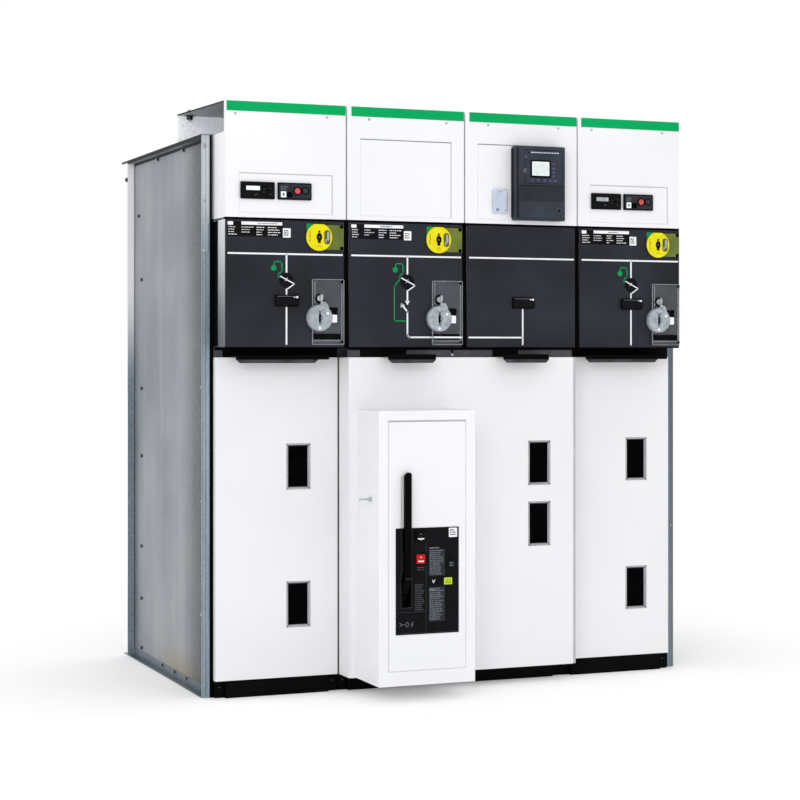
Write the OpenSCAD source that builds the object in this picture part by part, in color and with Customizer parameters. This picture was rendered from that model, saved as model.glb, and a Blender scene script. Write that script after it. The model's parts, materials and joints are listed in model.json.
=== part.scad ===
// Line-up of three joined medium-voltage cubicles: a switch cubicle at each end and a
// gas insulated circuit breaker cubicle, with its spring mechanism box, between them.
// Front faces -Y, +Z is up, the origin is on the floor at the centre of the floor fixings.

/* [Row] */
// Height of the row, floor to the top of the instrument covers
row_h = 1600; // [1580:5:1680]
// Width of a switch cubicle at either end
end_w = 375; // [365:1:420]
// Width of the breaker cubicle
middle_w = 700; // [690:1:780]
// Depth of the cubicle frames, front posts to rear posts
frame_d = 810; // [780:1:900]
// Height of the open wiring box above the cubicle roofs
wiring_h = 79; // [60:1:90]
// Thickness of the steel sheet
sheet = 3; // [2:0.5:4]

/* [Frame] */
// Width of the folded lips round an end wall
lip_w = 21; // [18:1:30]
// Height of the angle along the foot of an end wall
foot_angle_h = 24; // [15:1:40]
// Thickness of the angle along the foot of an end wall
foot_angle_t = 2; // [1.5:0.5:4]
// Distance of an end wall's top lip under the roof
top_lip_drop = 4; // [2:1:30]
// How far the roofs run past the rear posts
roof_reach = 72; // [40:1:100]
// How far the floor lips and trays run past the rear posts
foot_reach = 43; // [20:1:60]
// Depth of the wiring box behind the instrument covers
wiring_d = 364; // [300:1:400]
// Gap between neighbouring roofs and trays
joint_gap = 0.8; // [0.4:0.1:0.9]
// Width of the rim left round each opening of the front frames
frame_rim = 26; // [18:1:34]
// Distance of a floor fixing from the edge of its tray
fixing_inset = 23; // [20:1:30]
// Diameter of a floor fixing hole
fixing_hole = 11; // [9:0.5:14]

/* [Front levels] */
// Height of the lower edge of the doors
door_low = 46; // [42:1:60]
// Height of a door
door_h = 872; // [860:1:880]
// Height of the band between doors and control panels
rail_h = 28; // [24:1:34]
// Height of a control panel
panel_h = 339; // [330:1:345]
// Dark seam between control panels and instrument covers
seam = 6; // [3:0.5:8]

/* [Front depths] */
// How far panels and covers stand before the posts
cover_reach = 113; // [100:1:125]
// How far the end doors stand before the posts
end_door_reach = 27; // [22:1:36]
// How far the middle door stands before the posts
middle_door_reach = 105; // [95:1:110]
// How far the plinths stand before the posts
plinth_reach = 29; // [24:1:34]
// Step back of the ends of a plinth
plinth_step = 14; // [6:1:18]
// Width of the stepped end of a plinth
plinth_end = 28; // [20:1:40]

/* [Covers and panels] */
// Distance of the first cover from the left end
left_inset = 33; // [30:1:40]
// Distance of the last cover from the right end
right_inset = 44; // [30:1:48]
// Seam between two covers
cover_gap = 4; // [2:0.5:6]
// Seam between two control panels
panel_gap = 15; // [8:0.5:18]
// Depth of the folded edge of a cover
cover_fold = 15; // [10:1:20]
// Thickness of a control panel
panel_t = 5; // [4:0.5:8]
// Width of the seam round an instrument plate
plate_seam = 2.5; // [1:0.5:3]
// Side margin of an instrument plate in its cover
plate_side = 38; // [30:1:50]
// Lower margin of an instrument plate in its cover
plate_low = 11; // [8:1:20]
// Height of the plates in the end covers
end_plate_h = 108; // [95:1:120]
// Height of the plates in the middle covers
middle_plate_h = 211; // [208:1:215]

/* [Doors] */
// Distance of an end door from the end of the row
door_end_inset = 31.5; // [29:0.5:40]
// Distance of the middle door from the edge of its cubicle
middle_door_inset = 9; // [6:0.5:14]
// Seam between neighbouring doors
door_gap = 2.5; // [2:0.5:5]
// Width of a window frame
window_w = 69; // [60:1:80]
// Height of a window frame
window_h = 125; // [110:1:140]
// Width of the bevelled border of a window frame
window_border = 6.5; // [5:0.5:10]
// Depth of a window frame
window_d = 6; // [5:1:16]
// Distance of the window centres from the right edge of the middle and right doors
window_inset = 107; // [100:0.5:120]
// Distance of the window centres from the right edge of the left door
left_window_inset = 114.5; // [100:0.5:120]
// Height of the upper windows above the door's lower edge
window_high = 574; // [560:1:590]
// Height of the lower windows of the end doors
end_window_low = 198; // [180:1:220]
// Height of the lower window of the middle door
middle_window_low = 402; // [380:1:420]
// Length of a grip on an end door
end_grip_w = 264; // [220:1:300]
// Distance of the right door's grip right of the door's middle
end_grip_shift = 11; // [0:1:20]
// How far an end door's grip runs on past its finger lip
grip_run_on = 32; // [10:1:50]
// Length of a grip on the middle door
middle_grip_w = 140; // [120:1:180]
// Distance of the middle door's left grip from its centre
left_grip_x = 174; // [150:1:190]
// Distance of the middle door's right grip from its centre
right_grip_x = 170; // [150:1:190]
// How far a grip stands before its rail
grip_reach = 60; // [45:1:66]
// Slope of the ends of a finger lip
grip_slope = 10; // [6:1:20]
// Height of a finger lip under its grip
grip_lip_h = 9; // [5:0.5:12]
// How far a grip hangs down before its door
grip_drop = 6; // [4:0.5:10]

/* [Breaker mechanism] */
// Width of the mechanism box
box_w = 278; // [270:1:300]
// Distance of the box from the left edge of the middle door
box_inset = 21; // [15:1:30]
// Height of the mechanism box
box_h = 731; // [720:1:760]
// How far the box stands before the middle door
box_reach = 173; // [150:1:190]
// Width of the box's rim beside and above its cover
box_rim = 26; // [22:1:30]
// Width of the box's rim below its cover
box_low_rim = 38; // [30:1:44]
// Ledge that the cover seats on
box_ledge = 6; // [4:1:8]
// Gap above the cover of the box
cover_top_gap = 4.5; // [2:0.5:5]
// Width of the flanges beside the box, on the door
flange_w = 15; // [8:1:18]
// Width of the fascia
fascia_w = 181; // [178:1:190]
// Height of the fascia
fascia_h = 282; // [278:1:300]
// Distance of the fascia from the left edge of the box
fascia_x = 48; // [46:1:54]
// Height of the fascia above the lower edge of the box
fascia_z = 136; // [125:1:150]
// Depth of the fascia moulding
fascia_d = 44; // [40:1:60]
// How far the fascia stands before the cover
fascia_proud = 1.5; // [0.5:0.5:3]
// Clearance round the fascia in the cover
fascia_fit = 0.4; // [0.2:0.1:0.8]
// Distance of the lever's middle from the left edge of the fascia
lever_x = 29.5; // [26:0.5:36]
// Width of the charging lever
lever_w = 19; // [16:1:26]
// Thickness of the charging lever
lever_t = 12; // [10:1:16]
// Length of the charging lever above its pivot
lever_l = 317; // [300:1:330]
// Height of the lever's pivot above the lower edge of the fascia
pivot_z = 114; // [110:1:120]
// Depth of the lever's pivot behind the cover's face
pivot_d = 15; // [14:1:18]
// Diameter of the lever's pivot pin
pivot_pin = 8; // [6:0.5:10]
// Clearance of the pivot pin in its bores
pin_fit = 0.3; // [0.2:0.1:0.5]
// How far the lever stands before the cover
lever_off = 5; // [5:0.5:8]
// How far the channel ends under the lever's tip
channel_short = 12; // [5:1:30]
// Clearance on each side of the lever in its channel
lever_clear = 5; // [5:0.5:9]
// Depth of the channel in the cover
channel_d = 5; // [4:0.5:6]
// Length of the slot under the pivot
slot_under = 42; // [40:1:50]
// Width of the push buttons
button_w = 25; // [22:1:30]
// Height of the push buttons
button_h = 25; // [22:1:28]
// How far the push buttons stand before the fascia
button_proud = 6; // [5:0.5:8]
// Clearance round a push button
button_fit = 0.6; // [0.4:0.1:0.9]
// Distance of the buttons' middle from the left edge of the fascia
button_x = 69; // [66:0.5:76]
// Height of the close button above the lower edge of the fascia
close_z = 260; // [245:1:262]
// Height of the open button above the lower edge of the fascia
open_z = 200; // [185:1:205]
// Diameter of the locking pin on the side of the box
lock_pin = 6; // [5:0.5:10]
// Length of the locking pin
lock_pin_l = 35; // [20:1:45]

/* [Instruments] */
// Depth of the protection relay before its cover
relay_d = 39; // [30:1:50]
// Width of the protection relay
relay_w = 154; // [140:1:160]
// Height of the protection relay
relay_h = 207; // [200:1:210]
// Width of an indicator module
module_w = 96; // [88:1:102]
// Height of an indicator module
module_h = 46; // [40:1:56]
// Depth of an indicator module
module_d = 7; // [4:1:12]
// Width of the sensor socket box
socket_w = 44.5; // [40:0.5:52]
// Height of the sensor socket box
socket_h = 66; // [56:1:76]
// Depth of the sensor socket box
socket_d = 10; // [6:1:14]
// Distance of the sensor socket box from the protection relay
socket_gap = 14.5; // [8:0.5:24]
// Distance of the protection relay from the right edge of its cubicle
relay_inset = 54; // [45:1:70]
// Height of the protection relay above the lower edge of its cover
relay_low = 11; // [8:1:16]
// Height of the sensor socket box above the lower edge of its cover
socket_low = 30; // [20:1:60]
// Distance of the first indicator module from the left edge of its cover
module_inset = 40; // [30:1:50]
// Height of the indicator modules above the lower edge of their cover
module_low = 49; // [40:1:54]
// Gap between a pair of indicator modules
module_gap = 8; // [4:1:12]

/* [Switch controls] */
// Radius of an earthing disc
disc_r = 37; // [32:1:40]
// Height of the flat top of an earthing disc above its centre
disc_flat = 35; // [26:1:36]
// Radius of an operating disc
operate_r = 36; // [30:1:38]
// Thickness of an earthing disc, and how far an operating disc stands before its clear cover
disc_t = 3; // [2:0.5:5]
// Clearance of an operating disc in its clear cover
disc_fit = 1; // [0.5:0.1:1.5]
// Radius of the lobe on the rim of an operating disc
lobe_r = 8; // [6:0.5:9]
// Distance of the discs from the right edge of a panel
disc_inset = 73; // [66:1:76]
// Height of the earthing discs above the lower edge of a panel
earth_z = 296; // [285:1:300]
// Height of the operating discs above the lower edge of a panel
operate_z = 78; // [70:1:84]
// Width of a clear cover
clear_w = 92; // [86:1:96]
// Height of a clear cover
clear_h = 177; // [165:1:185]
// How far a clear cover stands before its panel
clear_d = 10; // [8:1:16]
// Width of an earthing cover
earth_w = 66; // [60:1:80]
// Height of an earthing cover
earth_h = 67; // [60:1:74]
// Radius of a key lock
lock_r = 8; // [6:0.5:10]
// Height of the key locks above the lower edge of a panel
lock_z = 131; // [122:1:140]
// Distance of the mimic line right of a panel's middle
mimic_x = 3; // [0:0.5:10]
// Radius of a position indicator
position_r = 20; // [16:1:24]
// Height of the position indicators above the lower edge of a panel
position_z = 179; // [170:1:185]
// Width of a marker block
block_w = 67; // [56:1:76]
// Height of a marker block
block_h = 33; // [20:1:36]
// Depth of a marker block
block_d = 12; // [6:1:16]
// Height of the marker blocks above the lower edge of a panel
block_z = 124; // [118:1:136]

/* [Hidden] */
$fn = 48;
eps = 1;
row_half = end_w + middle_w / 2;
split = middle_w / 2;
part_t = 2 * sheet;
web_in = row_half - lip_w - sheet;
front_y = -frame_d / 2;
rear_y = frame_d / 2;
roof_z = row_h - wiring_h;
roof_low = roof_z - sheet;
rim_h = door_low - 4;
door_high = door_low + door_h;
panel_low = door_high + rail_h;
panel_high = panel_low + panel_h;
cover_low = panel_high + seam;
cover_y = front_y - cover_reach;
end_door_y = front_y - end_door_reach;
middle_door_y = front_y - middle_door_reach;
rail_back = 9;
seat_gap = 0.3;
window_proud = 0.5;

// Columns of covers and panels, left to right
column_x = [-(row_half - left_inset), -split, 0, split, row_half - right_inset];
function outer(i, last) = i == last ? 0 : 1;
function cover_l(i) = column_x[i] + outer(i, 0) * cover_gap / 2;
function cover_r(i) = column_x[i + 1] - outer(i, 3) * cover_gap / 2;
function panel_l(i) = column_x[i] + outer(i, 0) * panel_gap / 2;
function panel_r(i) = column_x[i + 1] - outer(i, 3) * panel_gap / 2;
function mimic(i) = (panel_l(i) + panel_r(i)) / 2 + mimic_x;
columns = [0, 1, 2, 3];
end_columns = [0, 3];
switch_columns = [0, 1, 3];
block_columns = [0, 2, 3];

// Cubicles: inner left and right, outer left and right
units = [
    [-web_in, -split - part_t / 2, -row_half, -split - joint_gap / 2],
    [-split + part_t / 2, split - part_t / 2, -split + joint_gap / 2, split - joint_gap / 2],
    [split + part_t / 2, web_in, split + joint_gap / 2, row_half]
];

// Doors: left, right, front plane, lower window, grip length, grip centres, grip's run past its lip,
// window distance from the right edge
middle_door_r = split - middle_door_inset;
end_door_in = middle_door_r + door_gap;
end_door_out = row_half - door_end_inset;
end_door_mid = (end_door_in + end_door_out) / 2;
doors = [
    [-end_door_out, -end_door_in, end_door_y, end_window_low, end_grip_w, [-end_door_mid],
        grip_run_on, left_window_inset],
    [-middle_door_r, middle_door_r, middle_door_y, middle_window_low, middle_grip_w, [-left_grip_x, right_grip_x],
        0, window_inset],
    [end_door_in, end_door_out, end_door_y, end_window_low, end_grip_w, [end_door_mid + end_grip_shift],
        grip_run_on, window_inset]
];

// Mechanism box and its cover, fascia and lever
box_l = -middle_door_r + box_inset;
box_r = box_l + box_w;
box_top = door_low + box_h;
box_y = middle_door_y - box_reach;
front_t = 2 * sheet;
plate_l = box_l + box_rim;
plate_r = box_r - box_rim;
plate_bottom = door_low + box_low_rim;
plate_top = box_top - box_rim;
fascia_l = box_l + fascia_x;
fascia_low = door_low + fascia_z;
fascia_top = fascia_low + fascia_h;
fascia_y = box_y - fascia_proud;
lever_mid = fascia_l + lever_x;
pivot_y = box_y + pivot_d;
pivot_h = fascia_low + pivot_z;
lever_back = box_y - lever_off;
channel_w = lever_w + 2 * lever_clear;
channel_top = pivot_h + lever_l - channel_short;
hub_r = 11;
neck_h = 41;
flag_low = 129;
flag_h = 18;
position_flag = [95, 27];
spring_flag = [138, 23];

// Box given by its low and high corners
module span(low, high) {
    translate(low) cube(high - low);
}

// Ring of sheet that runs along Y, open at front and back
module sleeve(x0, x1, y0, y1, z0, z1) {
    difference() {
        span([x0, y0, z0], [x1, y1, z1]);
        span([x0 + sheet, y0 - eps, z0 + sheet], [x1 - sheet, y1 + eps, z1 - sheet]);
    }
}

// Folded sheet front: a face with edges turned back on all four sides
module pan(x0, x1, y0, y1, z0, z1) {
    difference() {
        span([x0, y0, z0], [x1, y1, z1]);
        span([x0 + sheet, y0 + sheet, z0 + sheet], [x1 - sheet, y1 + eps, z1 - sheet]);
    }
}

// Round piece whose axis runs along Y, from y0 back to y1
module disc(x, y0, y1, z, r) {
    translate([x, y1, z]) rotate([90, 0, 0]) cylinder(r = r, h = y1 - y0);
}

// Profile drawn in Y and Z, run along X from x0 to x1
module along_x(x0, x1) {
    translate([x0, 0, 0]) rotate([90, 0, 90]) linear_extrude(x1 - x0) children();
}

// Floor tray of each cubicle, with its floor fixing holes
module base_frames() {
    color("#8d9399") for (u = units) difference() {
        union() {
            span([u[0], front_y, 0], [u[1], rear_y + foot_reach, sheet]);
            span([u[0], front_y, 0], [u[1], front_y + sheet, rim_h]);
            for (x = [u[0], u[1] - sheet]) span([x, front_y, 0], [x + sheet, rear_y - sheet, rim_h]);
        }
        for (x = [u[0] + fixing_inset, u[1] - fixing_inset], y = [front_y + fixing_inset, rear_y - fixing_inset])
            translate([x, y, -eps]) cylinder(d = fixing_hole, h = sheet + 2 * eps);
    }
}

// End wall: a recessed sheet with lips folded outwards on all sides and an angle along its foot
module end_wall() {
    lip_x = row_half - lip_w;
    span([lip_x - sheet, front_y, 0], [lip_x, rear_y, roof_low]);
    for (y = [front_y, rear_y - sheet]) span([lip_x - sheet, y, 0], [row_half, y + sheet, roof_low]);
    span([lip_x - sheet, front_y, 0], [row_half, rear_y + foot_reach, sheet]);
    span([lip_x - sheet, front_y, 0], [lip_x + foot_angle_t, rear_y, sheet + foot_angle_h]);
    lip_z = roof_low - top_lip_drop;
    span([lip_x - sheet, front_y, lip_z - sheet], [row_half, rear_y, lip_z]);
}

module left_end_wall() {
    color("#9aa1a8") mirror([1, 0, 0]) end_wall();
}

module right_end_wall() {
    color("#9aa1a8") end_wall();
}

// Double sheet between neighbouring cubicles
module partitions() {
    color("#9aa1a8") for (x = [-split, split])
        span([x - part_t / 2, front_y, 0], [x + part_t / 2, rear_y, roof_low]);
}

// Front frame of each cubicle, with openings behind the door, the panel and the cover
module front_frames() {
    bands = [[rim_h, door_high], [panel_low, panel_high], [cover_low, roof_low]];
    color("#8d9399") for (u = units) difference() {
        span([u[0], front_y, rim_h], [u[1], front_y + sheet, roof_low]);
        for (b = bands) span([u[0] + frame_rim, front_y - eps, b[0] + frame_rim],
            [u[1] - frame_rim, front_y + sheet + eps, b[1] - frame_rim]);
    }
}

module rear_panels() {
    color("#9aa1a8") for (u = units) span([u[0], rear_y - sheet, sheet], [u[1], rear_y, roof_low]);
}

module roof_plates() {
    color("#9aa1a8") for (u = units)
        span([u[2], front_y, roof_low], [u[3], rear_y + roof_reach, roof_z]);
}

// Roof of the wiring box: its ends flare from the covers out to the end walls
module wiring_roof() {
    y0 = cover_y + cover_fold;
    y1 = cover_y + wiring_d;
    color("#9aa1a8") translate([0, 0, row_h - sheet]) linear_extrude(sheet)
        polygon([[cover_l(0), y0], [cover_r(3), y0], [row_half - sheet, y1], [sheet - row_half, y1]]);
}

module wiring_rear() {
    y1 = cover_y + wiring_d;
    color("#b4bac0") for (u = units) span([max(u[2], sheet - row_half), y1 - sheet, roof_z],
        [min(u[3], row_half - sheet), y1, row_h - sheet]);
}

// White sleeves that carry the instrument covers before the frame
module instrument_housings() {
    color("white") for (i = columns)
        sleeve(cover_l(i), cover_r(i), cover_y + cover_fold, front_y, cover_low, roof_low);
}

// Instrument cover with the seam of its removable plate
module instrument_cover(i, plate_h) {
    x0 = cover_l(i) + plate_side;
    x1 = cover_r(i) - plate_side;
    z0 = cover_low + plate_low;
    color("white") difference() {
        pan(cover_l(i), cover_r(i), cover_y, cover_y + cover_fold, cover_low, row_h);
        difference() {
            span([x0, cover_y - eps, z0], [x1, cover_y + sheet * 2 / 3, z0 + plate_h]);
            span([x0 + plate_seam, cover_y - 2 * eps, z0 + plate_seam],
                [x1 - plate_seam, cover_y + sheet, z0 + plate_h - plate_seam]);
        }
    }
}

module instrument_cover_1() {
    instrument_cover(0, end_plate_h);
}

module instrument_cover_2() {
    instrument_cover(1, middle_plate_h);
}

module instrument_cover_3() {
    instrument_cover(2, middle_plate_h);
}

module instrument_cover_4() {
    instrument_cover(3, end_plate_h);
}

// Galvanised sleeves that hold the switch mechanisms behind the control panels
module mechanism_housings() {
    color("#b4bac0") for (i = columns)
        sleeve(panel_l(i), panel_r(i), cover_y + panel_t, front_y, panel_low, panel_high);
}

module control_panel(i) {
    color("#2f3136") span([panel_l(i), cover_y, panel_low], [panel_r(i), cover_y + panel_t, panel_high]);
}

module control_panel_1() {
    control_panel(0);
}

module control_panel_2() {
    control_panel(1);
}

module control_panel_3() {
    control_panel(2);
}

module control_panel_4() {
    control_panel(3);
}

function window_x(d) = d[1] - d[7];
function window_levels(d) = [door_low + window_high, door_low + d[3]];

// Lift-off door: a folded front with two window openings
module door(d) {
    color("white") difference() {
        pan(d[0], d[1], d[2], front_y, door_low, door_high);
        for (z = window_levels(d)) span([window_x(d) - window_w / 2, d[2] - eps, z - window_h / 2],
            [window_x(d) + window_w / 2, d[2] + sheet + eps, z + window_h / 2]);
    }
}

module left_door() {
    door(doors[0]);
}

module middle_door() {
    door(doors[1]);
}

module right_door() {
    door(doors[2]);
}

// Folded rails between doors and control panels, which the doors hang from
module grip_rails() {
    color("#9aa1a8") for (d = doors) {
        y0 = d[2] + rail_back;
        span([d[0], y0, door_high + seat_gap], [d[1], y0 + sheet, panel_low - seat_gap]);
        span([d[0], y0, panel_low - seat_gap - sheet], [d[1], front_y, panel_low - seat_gap]);
    }
}

// Grip: a plate over the top of a door, a bar before it and a finger lip under the bar
module grip(d, x) {
    bar_t = 8;
    lip_t = 4;
    low = door_high - grip_drop;
    seat = door_high + seat_gap;
    top = seat + bar_t;
    y_rail = d[2] + rail_back;
    y_nose = y_rail - grip_reach;
    x0 = x - d[4] / 2;
    x1 = x + d[4] / 2;
    lip_r = x1 - d[6];
    along_x(x0, x1) polygon([[y_rail, seat], [y_rail, top], [y_nose, top], [y_nose, low],
        [y_nose + bar_t, low], [y_nose + bar_t, seat]]);
    translate([0, y_nose + lip_t, 0]) rotate([90, 0, 0]) linear_extrude(lip_t)
        polygon([[x0, low + eps], [lip_r, low + eps], [lip_r, low], [lip_r - grip_slope, low - grip_lip_h],
            [x0 + grip_slope, low - grip_lip_h], [x0, low]]);
}

module door_grips() {
    color("#1b1c1e") for (d = doors, x = d[5]) grip(d, x);
}

// Opening that narrows from w0 by h0 at y0 to w1 by h1 at y1
module narrowing(x, z, y0, w0, h0, y1, w1, h1) {
    intersection() {
        translate([x, 0, z - h0 / 2]) linear_extrude(h0)
            polygon([[-w0 / 2, y0], [w0 / 2, y0], [w1 / 2, y1], [-w1 / 2, y1]]);
        along_x(x - w0 / 2, x + w0 / 2)
            polygon([[y0, z - h0 / 2], [y0, z + h0 / 2], [y1, z + h1 / 2], [y1, z - h1 / 2]]);
    }
}

// Window frame: a ring whose inner faces slope down to the pane
module window_frame(x, y, z) {
    w = window_w - 2 * seat_gap;
    h = window_h - 2 * seat_gap;
    inner_w = w - 2 * window_border;
    inner_h = h - 2 * window_border;
    edge = 2;
    face = y - window_proud;
    difference() {
        span([x - w / 2, face, z - h / 2], [x + w / 2, y + window_d, z + h / 2]);
        narrowing(x, z, face - eps, w - 2 * edge, h - 2 * edge, y + window_d, inner_w, inner_h);
        span([x - inner_w / 2, face - eps, z - inner_h / 2],
            [x + inner_w / 2, y + window_d + eps, z + inner_h / 2]);
    }
}

module window_frames() {
    color("#8f959b") for (d = doors, z = window_levels(d)) window_frame(window_x(d), d[2], z);
}

module window_panes() {
    pane = 3;
    color("#0c0d0f") for (d = doors, z = window_levels(d))
        span([window_x(d) - window_w / 2 + pane, d[2] + window_d, z - window_h / 2 + pane],
            [window_x(d) + window_w / 2 - pane, d[2] + window_d + pane, z + window_h / 2 - pane]);
}

// Black plinth before each tray, stepped back at both ends
module plinths() {
    y0 = front_y - plinth_reach;
    color("#141416") for (d = doors) difference() {
        span([d[0], y0, 0], [d[1], front_y, rim_h]);
        for (x = [d[0] - eps, d[1] - plinth_end])
            span([x, y0 - eps, -eps], [x + plinth_end + eps, y0 + plinth_step, rim_h + eps]);
        span([d[0] + plinth_end + sheet, y0 + sheet, -eps], [d[1] - plinth_end - sheet, front_y + eps, rim_h - sheet]);
    }
}

// Mechanism box on the middle door: open behind, flanged, with a stepped opening for its cover
module breaker_box() {
    color("white") difference() {
        union() {
            span([box_l, box_y, door_low], [box_r, middle_door_y, box_top]);
            translate([0, middle_door_y, 0]) rotate([90, 0, 0]) linear_extrude(sheet)
                polygon([[box_l - flange_w, door_low], [box_r + flange_w, door_low],
                    [box_r + flange_w, box_top - flange_w], [box_r, box_top], [box_l, box_top],
                    [box_l - flange_w, box_top - flange_w]]);
        }
        span([box_l + sheet, box_y + front_t, door_low + sheet],
            [box_r - sheet, middle_door_y + eps, box_top - sheet]);
        span([plate_l, box_y - eps, plate_bottom], [plate_r, box_y + sheet, plate_top]);
        span([plate_l + box_ledge, box_y - eps, plate_bottom + box_ledge],
            [plate_r - box_ledge, box_y + front_t + eps, plate_top - box_ledge]);
    }
}

// Cover of the mechanism box, with the fascia opening and the lever's pressed channel
module breaker_cover() {
    x0 = lever_mid - channel_w / 2;
    x1 = lever_mid + channel_w / 2;
    channel_low = fascia_top + fascia_fit;
    color("white") difference() {
        union() {
            span([plate_l + plate_seam, box_y, plate_bottom + plate_seam],
                [plate_r - plate_seam, box_y + sheet, plate_top - cover_top_gap]);
            span([x0 - sheet, box_y, channel_low], [x1 + sheet, box_y + channel_d + sheet, channel_top + sheet]);
        }
        span([x0, box_y - eps, channel_low - eps], [x1, box_y + channel_d, channel_top]);
        span([fascia_l - fascia_fit, box_y - eps, fascia_low - fascia_fit],
            [fascia_l + fascia_w + fascia_fit, box_y + fascia_d, channel_low]);
    }
}

function button_low(z) = [fascia_l + button_x - button_w / 2, fascia_y - button_proud, fascia_low + z - button_h / 2];
function button_high(z) = [fascia_l + button_x + button_w / 2, fascia_y + fascia_d / 2, fascia_low + z + button_h / 2];

// Moulded fascia with the lever's slot and pivot bores, button guides, a ledge groove and a sunk flag field
module breaker_fascia() {
    guide = [button_fit, 0, button_fit];
    ledge_z = 54;
    ledge_w = 87;
    ledge_h = 4;
    sunk = 2;
    depth = [0, fascia_d, 0];
    color("#1c1d20") difference() {
        span([fascia_l, fascia_y, fascia_low], [fascia_l + fascia_w, fascia_y + fascia_d, fascia_top]);
        span([lever_mid - channel_w / 2, fascia_y - eps, pivot_h - slot_under],
            [lever_mid + channel_w / 2, fascia_y + fascia_d + eps, fascia_top + eps]);
        translate([fascia_l - eps, pivot_y, pivot_h]) rotate([0, 90, 0])
            cylinder(d = pivot_pin + 2 * pin_fit, h = lever_x + channel_w / 2 + 2 * eps + pivot_pin);
        for (z = [close_z, open_z]) span(button_low(z) - guide - depth, button_high(z) + guide + depth);
        span([fascia_l - eps, fascia_y - eps, fascia_low + ledge_z],
            [fascia_l + ledge_w, fascia_y + sunk, fascia_low + ledge_z + ledge_h]);
        flag_field(position_flag, fascia_y - eps, fascia_y + sunk);
    }
}

// Charging lever: a flat bar with a bevelled tip, a hub behind it and its pivot pin
module charging_lever() {
    half = lever_w / 2;
    left_bevel = 8;
    right_bevel = 4;
    bar_low = pivot_h + neck_h;
    bar_high = pivot_h + lever_l;
    pin_l = channel_w + pivot_pin;
    color("#151618") union() {
        translate([lever_mid, lever_back, 0]) rotate([90, 0, 0]) linear_extrude(lever_t)
            polygon([[-half, bar_low], [half, bar_low], [half, bar_high - right_bevel],
                [half - right_bevel, bar_high], [left_bevel - half, bar_high], [-half, bar_high - left_bevel]]);
        along_x(lever_mid - half, lever_mid + half) {
            translate([pivot_y, pivot_h]) circle(r = hub_r);
            polygon([[pivot_y - hub_r, pivot_h], [pivot_y + hub_r, pivot_h], [lever_back, bar_low + neck_h / 2],
                [lever_back - lever_t, bar_low + neck_h / 2], [lever_back - lever_t, bar_low]]);
        }
        translate([lever_mid - pin_l / 2, pivot_y, pivot_h]) rotate([0, 90, 0]) cylinder(d = pivot_pin, h = pin_l);
    }
}

module close_button() {
    color("#0d0d0e") span(button_low(close_z), button_high(close_z));
}

module open_button() {
    color("#c21010") span(button_low(open_z), button_high(open_z));
}

// Field of a flag on the fascia, from y0 back to y1
module flag_field(flag, y0, y1) {
    span([fascia_l + flag[0], y0, fascia_low + flag_low],
        [fascia_l + flag[0] + flag[1], y1, fascia_low + flag_low + flag_h]);
}

// Spring flag on the fascia
module breaker_indicators() {
    color("#c8e010") flag_field(spring_flag, fascia_y - 1, fascia_y);
}

// Locking pin that sticks out of the left side of the box
module locking_pin() {
    pin_back = 58;
    pin_z = 494;
    washer = 2;
    color("silver") translate([box_l, box_y + pin_back, door_low + pin_z]) rotate([0, -90, 0]) {
        cylinder(d = 2 * lock_pin, h = washer);
        cylinder(d = lock_pin, h = lock_pin_l - lock_pin / 2);
        translate([0, 0, lock_pin_l - lock_pin / 2]) sphere(d = lock_pin);
    }
}

function relay_r() = column_x[3] - relay_inset;

// Protection relay: a body with a narrower bezel in front
module protection_relay() {
    bezel = 8;
    bezel_step = 4;
    x0 = relay_r() - relay_w;
    z0 = cover_low + relay_low;
    color("#17181b") {
        span([x0, cover_y - relay_d + bezel, z0], [x0 + relay_w, cover_y, z0 + relay_h]);
        span([x0 + bezel_step, cover_y - relay_d, z0 + bezel_step],
            [x0 + relay_w - bezel_step, cover_y - relay_d + bezel, z0 + relay_h - bezel_step]);
    }
}

module socket_box() {
    x1 = relay_r() - relay_w - socket_gap;
    z0 = cover_low + socket_low;
    color("#aab4c4") span([x1 - socket_w, cover_y - socket_d, z0], [x1, cover_y, z0 + socket_h]);
}

// Pair of indicator modules on each end cover
module indicator_modules() {
    color("#101113") for (i = end_columns, n = [0, 1]) {
        x0 = cover_l(i) + module_inset + n * (module_w + module_gap);
        z0 = cover_low + module_low;
        span([x0, cover_y - module_d, z0], [x0 + module_w, cover_y, z0 + module_h]);
    }
}

// Marker blocks across the mimic line
module marker_blocks() {
    nose = 6;
    color("#0e0f10") for (i = block_columns) {
        x = mimic(i);
        z0 = panel_low + block_z - block_h / 2;
        along_x(x - block_w / 2, x + block_w / 2)
            polygon([[cover_y, z0], [cover_y - block_d, z0 + nose], [cover_y - block_d, z0 + block_h - nose / 2],
                [cover_y, z0 + block_h]]);
    }
}

module position_indicators() {
    color("#0e0f10") for (i = switch_columns)
        disc(mimic(i), cover_y - 2, cover_y, panel_low + position_z, position_r);
}

function disc_x(i) = panel_r(i) - disc_inset;

// Yellow discs over the earthing switch shafts, each with a slot for the operating handle
module earthing_discs() {
    color("#f0e614") for (i = switch_columns)
        shaft_disc(disc_x(i), cover_y - sheet - disc_t, cover_y - sheet, panel_low + earth_z);
}

// Disc with a flat top and a slotted opening in its middle
module shaft_disc(x, y0, y1, z) {
    slot_w = 9;
    slot_h = 26;
    difference() {
        disc(x, y0, y1, z, disc_r);
        span([x - disc_r, y0 - eps, z + disc_flat], [x + disc_r, y1 + eps, z + disc_r + eps]);
        span([x - slot_w / 2, y0 - eps, z - slot_h / 2], [x + slot_w / 2, y1 - 1, z + slot_h / 2]);
    }
}

// Tinted plates beside and behind the earthing discs
module earthing_covers() {
    edge = 2;
    color("#5c6a24") for (i = switch_columns)
        span([panel_r(i) - edge - earth_w, cover_y - sheet, panel_low + earth_z - earth_h / 2],
            [panel_r(i) - edge, cover_y, panel_low + earth_z + earth_h / 2]);
}

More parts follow.
